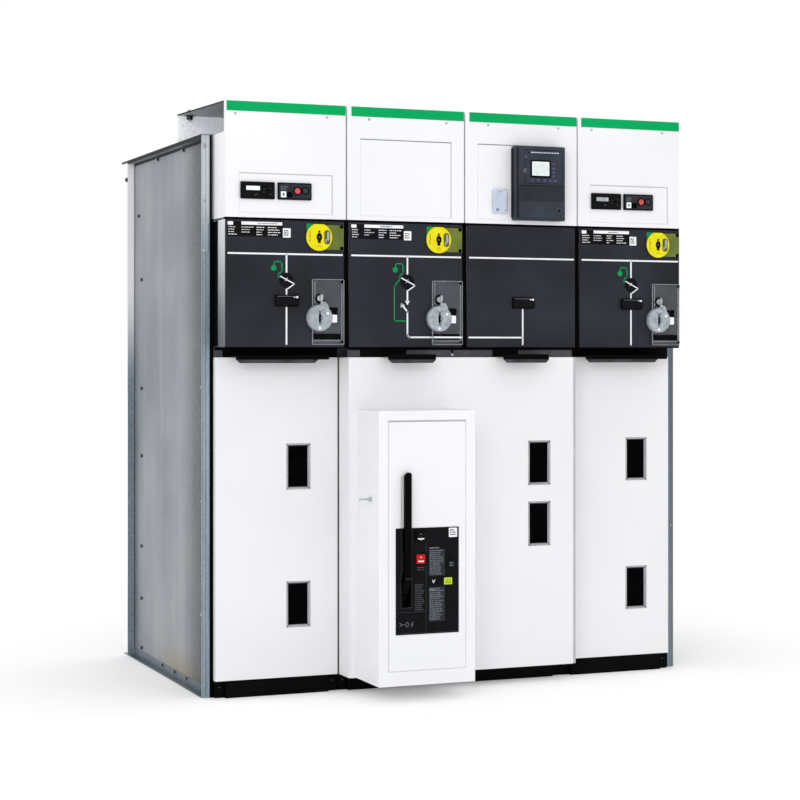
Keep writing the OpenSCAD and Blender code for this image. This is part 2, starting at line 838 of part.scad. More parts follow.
// Outline of an operating disc with its lobe, from y0 back to y1, larger all round by fit
module lobed_disc(i, y0, y1, fit) {
    lobe_angle = 60;
    lobe_at = operate_r - lobe_r / 3;
    z = panel_low + operate_z;
    disc(disc_x(i), y0, y1, z, operate_r + fit);
    disc(disc_x(i) + lobe_at * cos(lobe_angle), y0, y1, z + lobe_at * sin(lobe_angle), lobe_r + fit);
}

// Grey discs over the switch shafts, which stand out through their clear covers
module operating_discs() {
    slot_w = 7;
    slot_h = 34;
    slot_d = 10;
    y0 = cover_y - clear_d - disc_t;
    z = panel_low + operate_z;
    color("#b5bcc4") for (i = switch_columns) difference() {
        lobed_disc(i, y0, cover_y, 0);
        span([disc_x(i) - slot_w / 2, y0 - eps, z - slot_h / 2], [disc_x(i) + slot_w / 2, y0 + slot_d, z + slot_h / 2]);
    }
}

// Clear covers: a sheet cut out round the disc and the lock, with edges down to the panel on three sides
module operating_covers() {
    edge = 3;
    low = 6;
    y0 = cover_y - clear_d;
    color("#c8d0d8", 0.4) for (i = switch_columns) {
        x1 = panel_r(i) - edge;
        x0 = x1 - clear_w;
        z0 = panel_low + low;
        z1 = z0 + clear_h;
        difference() {
            span([x0, y0, z0], [x1, cover_y, z1]);
            span([x0 - eps, y0 + sheet, z0 + sheet], [x1 - sheet, cover_y + eps, z1 - sheet]);
            disc(disc_x(i), y0 - eps, cover_y, panel_low + lock_z, lock_r + seat_gap);
            lobed_disc(i, y0 - eps, cover_y, disc_fit);
        }
    }
}

module key_locks() {
    head = 4;
    color("silver") for (i = switch_columns)
        disc(disc_x(i), cover_y - clear_d - head, cover_y, panel_low + lock_z, lock_r);
}

base_frames();
left_end_wall();
right_end_wall();
partitions();
front_frames();
rear_panels();
roof_plates();
wiring_roof();
wiring_rear();
instrument_housings();
instrument_cover_1();
instrument_cover_2();
instrument_cover_3();
instrument_cover_4();
mechanism_housings();
control_panel_1();
control_panel_2();
control_panel_3();
control_panel_4();
left_door();
middle_door();
right_door();
grip_rails();
door_grips();
window_frames();
window_panes();
plinths();
breaker_box();
breaker_cover();
breaker_fascia();
charging_lever();
close_button();
open_button();
breaker_indicators();
locking_pin();
protection_relay();
socket_box();
indicator_modules();
marker_blocks();
position_indicators();
earthing_discs();
earthing_covers();
operating_discs();
operating_covers();
key_locks();
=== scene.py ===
"""Looks of a row of three joined medium-voltage cubicles with a gas insulated breaker.

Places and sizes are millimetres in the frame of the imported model: +X to the right along the row,
the front towards -Y, +Z up. Meshes are written in metres.
"""

import json
import math
import random

import bmesh
import bpy
from mathutils import Matrix, Vector


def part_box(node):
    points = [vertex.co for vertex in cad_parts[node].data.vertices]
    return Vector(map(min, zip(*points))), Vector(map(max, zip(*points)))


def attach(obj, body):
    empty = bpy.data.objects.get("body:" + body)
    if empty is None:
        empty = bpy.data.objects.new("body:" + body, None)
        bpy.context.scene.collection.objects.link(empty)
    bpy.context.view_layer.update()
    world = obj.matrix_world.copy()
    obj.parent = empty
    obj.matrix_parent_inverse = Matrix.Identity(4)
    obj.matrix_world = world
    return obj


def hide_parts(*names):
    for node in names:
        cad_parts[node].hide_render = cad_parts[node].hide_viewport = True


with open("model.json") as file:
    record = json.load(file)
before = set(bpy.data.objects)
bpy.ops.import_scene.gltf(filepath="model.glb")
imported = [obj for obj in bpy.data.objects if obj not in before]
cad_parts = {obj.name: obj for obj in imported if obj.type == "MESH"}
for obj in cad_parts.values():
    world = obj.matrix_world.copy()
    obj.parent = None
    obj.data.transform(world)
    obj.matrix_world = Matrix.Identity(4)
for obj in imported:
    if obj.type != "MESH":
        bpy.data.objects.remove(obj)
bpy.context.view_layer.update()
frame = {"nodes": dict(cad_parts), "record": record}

MM = 0.001
FRONT = Vector((0, -1, 0))
UP = Vector((0, 0, 1))
ROW = "switchgear"
SIDES = (-1, 1)


# Shader helpers

def linear(code):
    """Linear colour of an sRGB hex value."""
    parts = [int(code[i:i + 2], 16) / 255 for i in (1, 3, 5)]
    return [p / 12.92 if p <= 0.04045 else ((p + 0.055) / 1.055) ** 2.4 for p in parts] + [1.0]


def add(tree, kind, settings=(), sockets=(), links=()):
    """Adds a node with its own settings, the values of its sockets and the links into them."""
    node = tree.nodes.new("ShaderNode" + kind)
    for key, value in dict(settings).items():
        setattr(node, key, value)
    for key, value in dict(sockets).items():
        node.inputs[key].default_value = value
    for key, source in dict(links).items():
        tree.links.new(source, node.inputs[key])
    return node


def new_material(name, constants=()):
    """A material with its shader, whose constant sockets are set directly."""
    material = bpy.data.materials.new(name)
    material.use_nodes = True
    shader = material.node_tree.nodes["Principled BSDF"]
    for key, value in dict(constants).items():
        shader.inputs[key].default_value = value
    return material, material.node_tree, shader


COLOUR = {"data_type": "RGBA"}
SMOOTH = {"interpolation_type": "SMOOTHSTEP"}
# Most of a noise lies between these values
NOISE_SPAN = {"From Min": 0.3, "From Max": 0.7}


def moulded(name, low, high, patch, rough, grain, depth, constants=(), shine=0.5):
    """Coat or moulding: colour and gloss drift over patches, grain stands depth high, all in mm."""
    material, tree, shader = new_material(name, {"Specular IOR Level": shine, **dict(constants)})
    place = add(tree, "TexCoord").outputs["Object"]
    drift = add(tree, "TexNoise", sockets={"Scale": 1 / (patch * MM), "Detail": 3.0}, links={"Vector": place})
    share = add(tree, "MapRange", sockets=NOISE_SPAN, links={"Value": drift.outputs["Fac"]}).outputs["Result"]
    tone = add(tree, "Mix", COLOUR, {6: linear(low), 7: linear(high)}, {0: share})
    gloss = add(tree, "MapRange", sockets={"To Min": rough[0], "To Max": rough[1]}, links={"Value": share})
    grit = add(tree, "TexNoise", sockets={"Scale": 1 / (grain * MM), "Detail": 2.0}, links={"Vector": place})
    relief = add(tree, "Bump", sockets={"Strength": 1.0, "Distance": depth * MM},
                 links={"Height": grit.outputs["Fac"]})
    tree.links.new(tone.outputs[2], shader.inputs["Base Color"])
    tree.links.new(gloss.outputs["Result"], shader.inputs["Roughness"])
    tree.links.new(relief.outputs["Normal"], shader.inputs["Normal"])
    return material


def fade(tree, colour, axis, span, share, code):
    """Colour that takes up a hex value along an axis, from its first share to its last over the span."""
    limits = {"From Min": span[0], "From Max": span[1], "To Min": share[0], "To Max": share[1]}
    amount = add(tree, "MapRange", SMOOTH, limits, {"Value": axis}).outputs["Result"]
    return add(tree, "Mix", COLOUR, {7: linear(code)}, {0: amount, 6: colour}).outputs[2]


def wall_painted_reflections(tree, axes, colour):
    """Side wall: a painted dark reflection next to the front post and a painted warm reflection of the floor
    along its foot.
    """
    ahead = add(tree, "MapRange", SMOOTH, {"From Min": -0.1, "From Max": 0.25, "To Min": 0.7, "To Max": 0.0},
                {"Value": axes["Y"]})
    foot = add(tree, "MapRange", SMOOTH, {"From Min": 0.02, "From Max": 0.12, "To Max": 0.0},
               {"Value": axes["Z"], "To Min": ahead.outputs["Result"]})
    # Painted warm reflection of the floor along the foot, strongest towards the front
    warm = add(tree, "Mix", COLOUR, {7: linear("#96886a")}, {0: foot.outputs["Result"], 6: colour})
    return fade(tree, warm.outputs[2], axes["Y"], (-0.335, -0.12), (0.85, 0.0), "#393d43")


def lip_painted_highlight(tree, axes, colour):
    """Rear lip: a painted highlight towards its top, standing in for the light it mirrors."""
    return fade(tree, colour, axes["Z"], (0.8, 1.15), (0.0, 1.0), "#f4f4f6")


def post_painted_light(tree, axes, colour):
    """Front posts: a painted highlight near the top, and a painted dark reflection on the right one."""
    bright = fade(tree, colour, axes["Z"], (1.15, 1.4), (0.0, 0.55), "#eceff1")
    return fade(tree, bright, axes["X"], (-0.1, 0.1), (0.0, 0.6), "#434c55")


def housing_painted_light(tree, axes, colour):
    """Mechanism housings: painted light near the top and painted shade towards the rail."""
    return fade(tree, colour, axes["Z"], (0.95, 1.33), (0.92, 0.0), "#4a4e54")


# Width and length of rolling streaks, size of clouds and height of a crystal in mm, and spread of the tones
STREAK = (30, 30, 900)
CLOUD = 300
CRYSTAL_DEPTH = 0.03
SPREAD = 0.22


def galvanised(name, dark, light, spangle, mix, rough, metal=0.5, shade=None, painted_glow=0.0):
    """Hot-dip zinc on rolled sheet: crystals in flat tones, rolling streaks and clouds, weighed by mix."""
    # Light that the sheet emits, painted in for a sheet that stands in shade
    painted_glow_sockets = {"Emission Color": linear(light), "Emission Strength": painted_glow}
    material, tree, shader = new_material(name, {"Metallic": metal, **painted_glow_sockets})
    place = add(tree, "TexCoord").outputs["Object"]
    crystals = add(tree, "TexVoronoi", sockets={"Scale": 1 / (spangle * MM), "Randomness": 1.0},
                   links={"Vector": place})
    grey = add(tree, "RGBToBW", links={"Color": crystals.outputs["Color"]}).outputs["Val"]
    stretch = [1 / (side * MM) for side in STREAK]
    long_ways = add(tree, "Mapping", sockets={"Scale": stretch}, links={"Vector": place})
    streaks = add(tree, "TexNoise", sockets={"Scale": 1.0, "Detail": 5.0, "Roughness": 0.6},
                  links={"Vector": long_ways.outputs["Vector"]}).outputs["Fac"]
    clouds = add(tree, "TexNoise", sockets={"Scale": 1 / (CLOUD * MM), "Detail": 2.0},
                 links={"Vector": place}).outputs["Fac"]
    spots = add(tree, "Math", {"operation": "MULTIPLY"}, {1: mix[0]}, {0: grey}).outputs[0]
    lines = add(tree, "Math", {"operation": "MULTIPLY_ADD"}, {1: mix[1]}, {0: streaks, 2: spots}).outputs[0]
    whole = add(tree, "Math", {"operation": "MULTIPLY_ADD"}, {1: mix[2]}, {0: clouds, 2: lines}).outputs[0]
    middle = sum(mix) / 2
    span = {"From Min": max(0.0, middle - SPREAD), "From Max": min(1.0, middle + SPREAD)}
    share = add(tree, "MapRange", sockets=span, links={"Value": whole}).outputs["Result"]
    colour = add(tree, "Mix", COLOUR, {6: linear(dark), 7: linear(light)}, {0: share}).outputs[2]
    # Painted light and shade, placed along the axes
    if shade:
        axes = add(tree, "SeparateXYZ", links={"Vector": place}).outputs
        colour = shade(tree, axes, colour)
    gloss = add(tree, "MapRange", sockets={"To Min": rough[0], "To Max": rough[1]}, links={"Value": grey})
    relief = add(tree, "Bump", sockets={"Strength": 1.0, "Distance": CRYSTAL_DEPTH * MM},
                 links={"Height": grey})
    tree.links.new(colour, shader.inputs["Base Color"])
    tree.links.new(gloss.outputs["Result"], shader.inputs["Roughness"])
    tree.links.new(relief.outputs["Normal"], shader.inputs["Normal"])
    return material


def clear_sheet(name, low, high, alpha, rough):
    """Clear or tinted polycarbonate: faint haze that drifts over the sheet, glossy face."""
    return moulded(name, low, high, 60, rough, 30, 0.01, {"Alpha": alpha, "IOR": 1.58})


# Materials, each named for what the real surface is, and for the light or shade painted into it where there
# is some
# The real grain of mouldings and prints is finer than 0.5 mm, and is drawn coarser so that it shows

# Polyester powder coat, bright white, with the fine orange peel of a baked coat
WHITE = moulded("white_powder_coat", "#e9eaed", "#efeff2", 400, (0.36, 0.44), 2.2, 0.012, shine=0.3)
# The doors' powder coat: the covers' white made a little duller as painted shade on the doors, which sit
# lower and further back
DOOR = moulded("white_door_coat_painted_shade", "#e6e6e8", "#ececee", 400, (0.36, 0.44), 2.2, 0.012, shine=0.3)
# Galvanised sheet of the frames: small crystals, faint rolling streaks and soft clouds
ZINC = galvanised("galvanised_sheet", "#7d828a", "#97999b", 9, (0.12, 0.3, 0.7), (0.36, 0.5))
# The side walls' galvanised sheet, cool grey clouded with warmer grey, with a painted dark reflection by the
# front post and a painted warm reflection of the floor along the foot
WALL = galvanised("galvanised_wall", "#777d89", "#989b9f", 9, (0.1, 0.45, 0.9), (0.36, 0.5), shade=wall_painted_reflections)
# Front posts, bluish with bright lengthwise streaks, a painted highlight near the top and a painted dark
# reflection on the right post
POST = galvanised("galvanised_post", "#71838f", "#b3c1ca", 6, (0.12, 1.0, 0.2), (0.3, 0.45), shade=post_painted_light)
# Inner face of the rear lips, blue-grey below, with a painted highlight above
REAR_LIP = galvanised("galvanised_rear_lip", "#677786", "#8b98a3", 6, (0.3, 0.5, 0.3), (0.4, 0.5), 0.1,
                      lip_painted_highlight)
# Sides of the mechanism housings, brushed, with a near-white base as painted light near the top and painted
# shade towards the rail
HOUSING = galvanised("brushed_zinc_sheet", "#dcdee1", "#ffffff", 8, (0.05, 0.9, 0.2), (0.3, 0.45),
                     shade=housing_painted_light)
# Cut edges of the roof and strips on the walls under its lips, dark as painted shade
EDGE = moulded("zinc_edge_painted_shade", "#17191b", "#36383c", 14, (0.5, 0.65), 1.5, 0.02, shine=0.1)
# Foot angle, blue-grey and darker than the walls
FOOT = galvanised("galvanised_foot_angle", "#4c5763", "#77838e", 6, (0.3, 0.5, 0.4), (0.4, 0.55))
# Rail behind the grips, zinc darkened as painted shade for the shade under the panels' overhang
RAIL = galvanised("zinc_rail_painted_shade", "#2a2c30", "#525559", 12, (0.2, 0.3, 0.6), (0.45, 0.6), 0.2)
# Galvanised sheet of the roof plates, with brighter crystals
SPANGLE = galvanised("spangled_zinc_sheet", "#8f969c", "#bcc2c7", 9, (0.3, 0.3, 0.6), (0.32, 0.48))
# Galvanised sheet inside the wiring box, brightened and made to emit a little light: painted light for the
# box's shaded inside
DUCT = galvanised("duct_sheet_painted_glow", "#c3c9ce", "#f6faff", 5, (0.6, 0.1, 0.3), (0.5, 0.6), 0.0, painted_glow=0.3)
# Printed polyester film on the control panels, anthracite and matt with a faint cloudiness
FILM = moulded("anthracite_film", "#1d1f24", "#2f313a", 250, (0.42, 0.55), 1.5, 0.008, shine=0.12)
# Glass-filled polyamide, black, spark-eroded matt grain
BLACK = moulded("black_polyamide", "#08090a", "#101114", 60, (0.4, 0.55), 1.0, 0.015, shine=0.07)
# Over-moulded lever, deeper black and a little glossier where hands polish it
LEVER = moulded("lever_black_moulding", "#010102", "#040405", 90, (0.3, 0.42), 1.0, 0.01, shine=0.04)
# Moulded window frames, mid grey satin; the same grey paints shade in the breaker cover's top gap
FRAME_GREY_AND_GAP_SHADE = moulded("grey_window_moulding_and_gap_shade", "#a3a6aa", "#b7b9bc", 50, (0.35, 0.45), 1.2, 0.01)
# Clear pane before an unlit compartment: black depth with a smooth gloss
PANE = moulded("window_pane", "#000001", "#030304", 40, (0.05, 0.1), 30, 0.004, shine=0.015)
# Black powder coat on the plinths, scuffed to a drifting gloss; the same black paints shadow on the rails and
# the clear covers
BLACK_COAT_AND_SHADOW = moulded("black_powder_coat_and_painted_shadow", "#030304", "#08080a", 120, (0.45, 0.6), 1.8, 0.015, shine=0.04)
# Glossy ABS of the open push button
RED = moulded("red_abs", "#b40a0a", "#c81010", 20, (0.22, 0.3), 0.8, 0.006, shine=0.2)
# Lens of the lamp, lighter red where light gathers in it
LAMP = moulded("red_lamp_lens", "#bb2420", "#d85852", 5, (0.15, 0.25), 0.8, 0.004)
# Glossy printed flag
FLAG = moulded("spring_flag_film", "#bfd80c", "#d2ea18", 18, (0.25, 0.35), 0.8, 0.004)
# Bright zinc plated fasteners with a brushed, uneven sheen
BOLT = galvanised("zinc_plated_steel", "#8d9297", "#d6dadd", 3, (0.3, 0.3, 0.4), (0.22, 0.36))
# Black oxide steel of fasteners and push buttons, dull and dark; on the frame bolts this dark is painted
# shade
OXIDE_AND_SHADE = moulded("black_oxide_steel_and_painted_shade", "#101113", "#232529", 6, (0.3, 0.45), 0.8, 0.01)
# Pale ABS socket box
PALE = moulded("pale_abs", "#b9c2d6", "#cdd5e6", 30, (0.32, 0.42), 0.9, 0.008)
# Moulded yellow polycarbonate discs
YELLOW = moulded("yellow_polycarbonate", "#dccf04", "#ebe00c", 25, (0.25, 0.34), 0.9, 0.006, shine=0.15)
# Sunk window of a yellow disc, olive in its own shade
OLIVE_DARK = moulded("olive_sunk_window", "#3f410b", "#5a5c18", 8, (0.3, 0.4), 0.9, 0.006)
# Yellow-tinted clear plate over the dark panel, which reads as olive
OLIVE = clear_sheet("olive_tinted_sheet", "#576609", "#70801a", 0.86, (0.12, 0.2))
# Light grey moulded discs; the same grey paints the glints in the yellow discs' windows
GREY_AND_GLINTS = moulded("light_grey_moulding_and_glints", "#8f979f", "#adb5bd", 12, (0.25, 0.36), 0.9, 0.008)
# Clear covers over the operating discs, seen as a faint grey veil
CLEAR = clear_sheet("clear_polycarbonate", "#aab0b8", "#c3c8ce", 0.06, (0.08, 0.16))
# Painted highlights along and near the cut edges of the clear covers, where they gather light
CLEAR_EDGE = clear_sheet("clear_sheet_edge_highlights", "#b8bec6", "#d2d7dd", 0.55, (0.15, 0.25))
# Dark grey relay housing, fine grain
RELAY = moulded("relay_grey_moulding", "#2f333c", "#3a3f49", 60, (0.36, 0.48), 1.0, 0.012, shine=0.12)
# Green adhesive stripe along the top of the covers
STRIPE = moulded("green_stripe_film", "#039e57", "#06a85f", 300, (0.3, 0.38), 1.5, 0.004, shine=0.05)
# White screen print of the mimic lines and label areas; the same white paints small glints on the marker
# blocks and the operating discs
PRINT_AND_GLINTS = moulded("white_print_and_painted_glints", "#e4e6ea", "#f2f3f5", 30, (0.4, 0.5), 0.7, 0.004)
# Green screen print of the earth marks
GREEN_PRINT = moulded("green_screen_print", "#07894a", "#0c9a56", 20, (0.4, 0.5), 0.7, 0.004, shine=0.1)
# Grey print of small lines; the same grey paints shade in the darker cover seams and a highlight along the
# top of the marker blocks
GREY_PRINT_AND_LIGHT = moulded("grey_print_and_painted_light", "#6d727d", "#868b96", 12, (0.4, 0.5), 0.7, 0.003)
# Dim grey print of the fascia's small lines
DIM_PRINT = moulded("dim_screen_print", "#535763", "#717682", 12, (0.4, 0.5), 0.7, 0.003)
# Faint print and moulded edges on the black fascia, and the mitre lines of the windows
FAINT_PRINT = moulded("faint_screen_print", "#2a2c31", "#383a40", 12, (0.4, 0.5), 0.7, 0.003)
# Slate film under rows of small lines
SLATE = moulded("slate_label_film", "#24262e", "#2c2e37", 25, (0.38, 0.46), 0.8, 0.004, shine=0.15)
# Lit screens, pale with a cool tint
SCREEN = moulded("pale_screen", "#e3ebec", "#f0f6f6", 25, (0.15, 0.22), 3, 0.002,
                 {"Emission Color": linear("#e9f1f2"), "Emission Strength": 0.08})
# Inner field of the screen, faint green-grey
FIELD = moulded("screen_field", "#ccd6d1", "#e2e8e4", 14, (0.15, 0.22), 3, 0.002,
                {"Emission Color": linear("#d8e0dc"), "Emission Strength": 0.05})
# Violet-black membrane keys
KEY = moulded("membrane_keys", "#27264a", "#393868", 8, (0.25, 0.35), 0.7, 0.004)
# EPDM seals, dull black; the same black paints shade on the first housing's side and deepens the gaps around
# the control panels
RUBBER_AND_SHADE = moulded("epdm_seal_and_painted_shade", "#010101", "#040405", 40, (0.6, 0.75), 0.8, 0.02, shine=0.03)
# Pale grey strips: painted shade in the seams of the covers and beside the middle door's right edge
PALE_SHADE = moulded("pale_painted_shade_strip", "#b0b1b4", "#bfc0c3", 40, (0.6, 0.75), 0.8, 0.02, shine=0.1)
# Unlit display, grey green
DISPLAY = moulded("grey_green_display", "#879292", "#b3c1c1", 9, (0.2, 0.3), 3, 0.002)
# Satin dark grey: painted light on the lower sloped faces of the grips, lighter than their black, and painted
# shadow under the heads of the windows
LIP_LIGHT_AND_HEAD_SHADE = moulded("grip_lip_light_and_window_head_shade", "#232427", "#46484c", 40, (0.3, 0.42), 1.0, 0.01, shine=0.2)

SLOT_FINISH = {
    "galvanised_steel": ZINC, "white_paint": WHITE, "panel_grey": FILM, "black_plastic": BLACK,
    "lever_black": LEVER, "frame_grey": FRAME_GREY_AND_GAP_SHADE, "dark_glass": PANE, "black_paint": BLACK_COAT_AND_SHADOW,
    "red_plastic": RED, "flag_yellow": FLAG, "zinc_steel": BOLT, "pale_plastic": PALE,
    "yellow_plastic": YELLOW, "tinted_plastic": OLIVE, "grey_plastic": GREY_AND_GLINTS, "clear_plastic": CLEAR,
    "relay_grey": RELAY,
}
NODE_FINISH = {
    "wiring_rear": DUCT, "wiring_roof": ZINC, "roof_plates": SPANGLE, "mechanism_housings": HOUSING,
    "left_end_wall": WALL, "right_end_wall": WALL, "grip_rails": RAIL, "door_grips": LEVER,
    "left_door": DOOR, "middle_door": DOOR, "right_door": DOOR,
}
node_slot = {part["node"]: part["material_slot"] for part in frame["record"]["subparts"]}
node_body = {node: body for body, nodes in frame["record"]["behaviour"]["bodies"].items() for node in nodes}


def finish_of(node):
    """Material that a CAD node shows."""
    return NODE_FINISH.get(node, SLOT_FINISH[node_slot[node]])


# Mesh helpers

scratch = bpy.data.meshes.new("scratch")


def box_mm(node):
    """Lowest and highest corner of a CAD node, in mm."""
    low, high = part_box(node)
    return low / MM, high / MM


def put(bm, part):
    """Adds one shaped part to a piece's mesh."""
    part.to_mesh(scratch)
    part.free()
    bm.from_mesh(scratch)


def round_edges(part, edges, radius, segments):
    """Rounds edges and shades only the round faces smooth."""
    made = bmesh.ops.bevel(part, geom=edges, offset=radius * MM, affect="EDGES", segments=segments,
                           profile=0.5, material=-1, clamp_overlap=True)
    for face in made["faces"]:
        face.smooth = True


def block(low, high):
    """A new bmesh that holds one box between two corners."""
    part = bmesh.new()
    bmesh.ops.create_cube(part, size=1.0)
    size = [(b - a) * MM for a, b in zip(low, high)]
    middle = [(a + b) / 2 * MM for a, b in zip(low, high)]
    bmesh.ops.scale(part, vec=size, verts=part.verts)
    bmesh.ops.translate(part, vec=middle, verts=part.verts)
    return part


def slab(bm, low, high, radius=0.0):
    """Box between two corners with all its edges rounded."""
    part = block(low, high)
    if radius:
        round_edges(part, part.edges[:], radius, 2)
    put(bm, part)


def tile(bm, x0, x1, z0, z1, y, depth, corner=0.0, rim=0.0):
    """Flat tile on a front face at y: its corners and its front rim are rounded."""
    part = block((x0, y - depth, z0), (x1, y, z1))
    if corner:
        round_edges(part, [e for e in part.edges if abs((e.verts[1].co - e.verts[0].co).y) > depth * MM / 2],
                    corner, 4)
    if rim:
        front = min(v.co.y for v in part.verts) + rim * MM / 10
        round_edges(part, [e for e in part.edges if all(v.co.y < front for v in e.verts)], rim, 2)
    put(bm, part)


def tile_at(bm, x, z, left, right, low, high, y, depth, corner=0.0, rim=0.0):
    """Flat tile whose sides are given from the point (x, z)."""
    tile(bm, x + left, x + right, z + low, z + high, y, depth, corner, rim)


def stroke(bm, start, end, width, y, proud=0.3, cap=0.5):
    """Printed straight line on a front face at y, from one (x, z) point to another."""
    (xa, za), (xb, zb) = start, end
    length = math.hypot(xb - xa, zb - za) + 2 * cap * width
    part = block((-length / 2, -proud, -width / 2), (length / 2, 0, width / 2))
    turn = Matrix.Rotation(-math.atan2(zb - za, xb - xa), 4, "Y")
    move = Matrix.Translation(Vector(((xa + xb) / 2, y, (za + zb) / 2)) * MM)
    bmesh.ops.transform(part, matrix=move @ turn, verts=part.verts)
    put(bm, part)


def line(bm, points, width, y, origin=(0, 0)):
    """Printed line through several points, given from origin."""
    moved = [(origin[0] + x, origin[1] + z) for x, z in points]
    for start, end in zip(moved, moved[1:]):
        stroke(bm, start, end, width, y)


def bar(bm, start, end, width):
    """Square bar from one point to another."""
    start, end = Vector(start), Vector(end)
    run = end - start
    part = block((-run.length / 2, -width / 2, -width / 2), (run.length / 2, width / 2, width / 2))
    turn = run.to_track_quat("X", "Z").to_matrix().to_4x4()
    bmesh.ops.transform(part, matrix=Matrix.Translation((start + end) / 2 * MM) @ turn, verts=part.verts)
    put(bm, part)


def plate(bm, points, y, proud):
    """Flat piece with a straight-sided outline of (x, z) points on a front face at y."""
    part = bmesh.new()
    face = part.faces.new([part.verts.new((x * MM, y * MM, z * MM)) for x, z in points])
    made = bmesh.ops.extrude_face_region(part, geom=[face])["geom"]
    front = [v for v in made if isinstance(v, bmesh.types.BMVert)]
    bmesh.ops.translate(part, vec=FRONT * proud * MM, verts=front)
    bmesh.ops.recalc_face_normals(part, faces=part.faces)
    put(bm, part)


def lathe(bm, profile, at, out=FRONT, steps=28):
    """Round piece spun from (radius, height) points, with height measured along out from at."""
    part = bmesh.new()
    points = [part.verts.new((r * MM, 0, h * MM)) for r, h in profile]
    lines = [part.edges.new(pair) for pair in zip(points, points[1:])]
    bmesh.ops.spin(part, geom=points + lines, cent=(0, 0, 0), axis=UP, angle=math.tau, steps=steps,
                   use_merge=True)
    bmesh.ops.remove_doubles(part, verts=part.verts, dist=MM / 1000)
    bmesh.ops.recalc_face_normals(part, faces=part.faces)
    for face in part.faces:
        face.smooth = abs(face.normal.z) < 0.9
    turn = Vector(out).to_track_quat("Z", "Y").to_matrix().to_4x4()
    bmesh.ops.transform(part, matrix=Matrix.Translation(Vector(at) * MM) @ turn, verts=part.verts)
    put(bm, part)


def dot(bm, radius, proud, at, steps=28):
    """Flat round dot on a front face."""
    lathe(bm, [(0, proud), (radius, proud), (radius, 0)], at, steps=steps)


def ring(bm, inner, outer, proud, at, steps=28):
    """Flat ring on a front face."""
    lathe(bm, [(inner, 0), (inner, proud), (outer, proud), (outer, 0)], at, steps=steps)


def screw(bm, at, out=FRONT, radius=4.0):
    """Domed screw head with a round socket."""
    lathe(bm, [(0, 0.2 * radius), (0.45 * radius, 0.2 * radius), (0.45 * radius, 0.6 * radius),
               (0.8 * radius, 0.5 * radius), (radius, 0.25 * radius), (radius, 0)], at, out, 16)


WASHER_T = 1.6


def washer(bm, at, out, across):
    """Plain washer under a bolt head."""
    lathe(bm, [(0, WASHER_T), (0.85 * across, WASHER_T), (0.85 * across, 0)], at, out, 20)


def bolt(bm, at, out, across):
    """Hexagon bolt head above its washer."""
    head = Vector(at) + Vector(out) * WASHER_T
    lathe(bm, [(0, 0.62 * across), (0.46 * across, 0.62 * across), (0.55 * across, 0.5 * across),
               (0.55 * across, 0)], head, out, 6)


def thread_end(bm, at, out, across):
    """End of the thread that stands out of a bolt head."""
    head = Vector(at) + Vector(out) * (WASHER_T + 0.6 * across)
    lathe(bm, [(0, 0.3 * across), (0.2 * across, 0.28 * across), (0.26 * across, 0)], head, out, 12)


def text_rows(bm, x0, x1, z0, z1, y, rows, seed, fill=0.8, weight=0.5):
    """Rows of short printed bars, whose lengths and gaps are drawn from a seed."""
    draw = random.Random(seed)
    pitch = (z1 - z0) / rows
    for row in range(rows):
        z = z0 + (row + 0.5) * pitch
        x = x0
        stop = x0 + (x1 - x0) * (fill + (1 - fill) * draw.random())
        while x < stop:
            length = min(draw.uniform(2.0, 8.0), stop - x)
            tile(bm, x, x + length, z - weight / 2 * pitch, z + weight / 2 * pitch, y, 0.25)
            x += length + draw.uniform(1.0, 2.2)


def scene_object(name, data):
    """An object of the scene, at the origin."""
    obj = bpy.data.objects.new(name, data)
    bpy.context.scene.collection.objects.link(obj)
    return obj


def piece(name, make, material, body=ROW):
    """Makes one piece from a function that fills its mesh, and puts it on its body."""
    bm = bmesh.new()
    make(bm)
    mesh = bpy.data.meshes.new(name)
    bm.to_mesh(mesh)
    bm.free()
    mesh.materials.append(material)
    obj = scene_object(name, mesh)
    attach(obj, body)
    return obj


def shows(material, body=ROW, each=()):
    """Makes a piece from the function that fills it, which runs once or for each of several places."""
    def decorate(fill):
        def fill_all(bm):
            for place in each:
                fill(bm, place)
        piece(fill.__name__, fill_all if each else fill, material, body)
        return fill
    return decorate


# CAD nodes: a finish on each, and rounded edges on the sheets and mouldings that show

for node, obj in frame["nodes"].items():
    for place in obj.material_slots:
        place.material = finish_of(node)

COLUMNS = (1, 2, 3, 4)
EDGE_RADIUS = {
    **{f"instrument_cover_{n}": 1.2 for n in COLUMNS}, **{f"control_panel_{n}": 1.0 for n in COLUMNS},
    "left_door": 1.2, "middle_door": 1.2, "right_door": 1.2, "breaker_box": 1.3, "breaker_cover": 0.8,
    "left_end_wall": 0.9, "right_end_wall": 0.9, "roof_plates": 0.9, "wiring_roof": 0.9, "plinths": 0.8,
    "door_grips": 2.0, "window_frames": 0.4, "breaker_fascia": 1.0, "charging_lever": 2.0,
    "close_button": 1.5, "open_button": 1.5, "breaker_indicators": 0.4, "protection_relay": 3.0,
    "socket_box": 3.5, "indicator_modules": 2.5, "marker_blocks": 1.5, "position_indicators": 0.6,
    "earthing_discs": 0.8, "operating_discs": 1.0, "key_locks": 1.0,
}
FLAT = math.radians(1)
SHARP = math.radians(30)


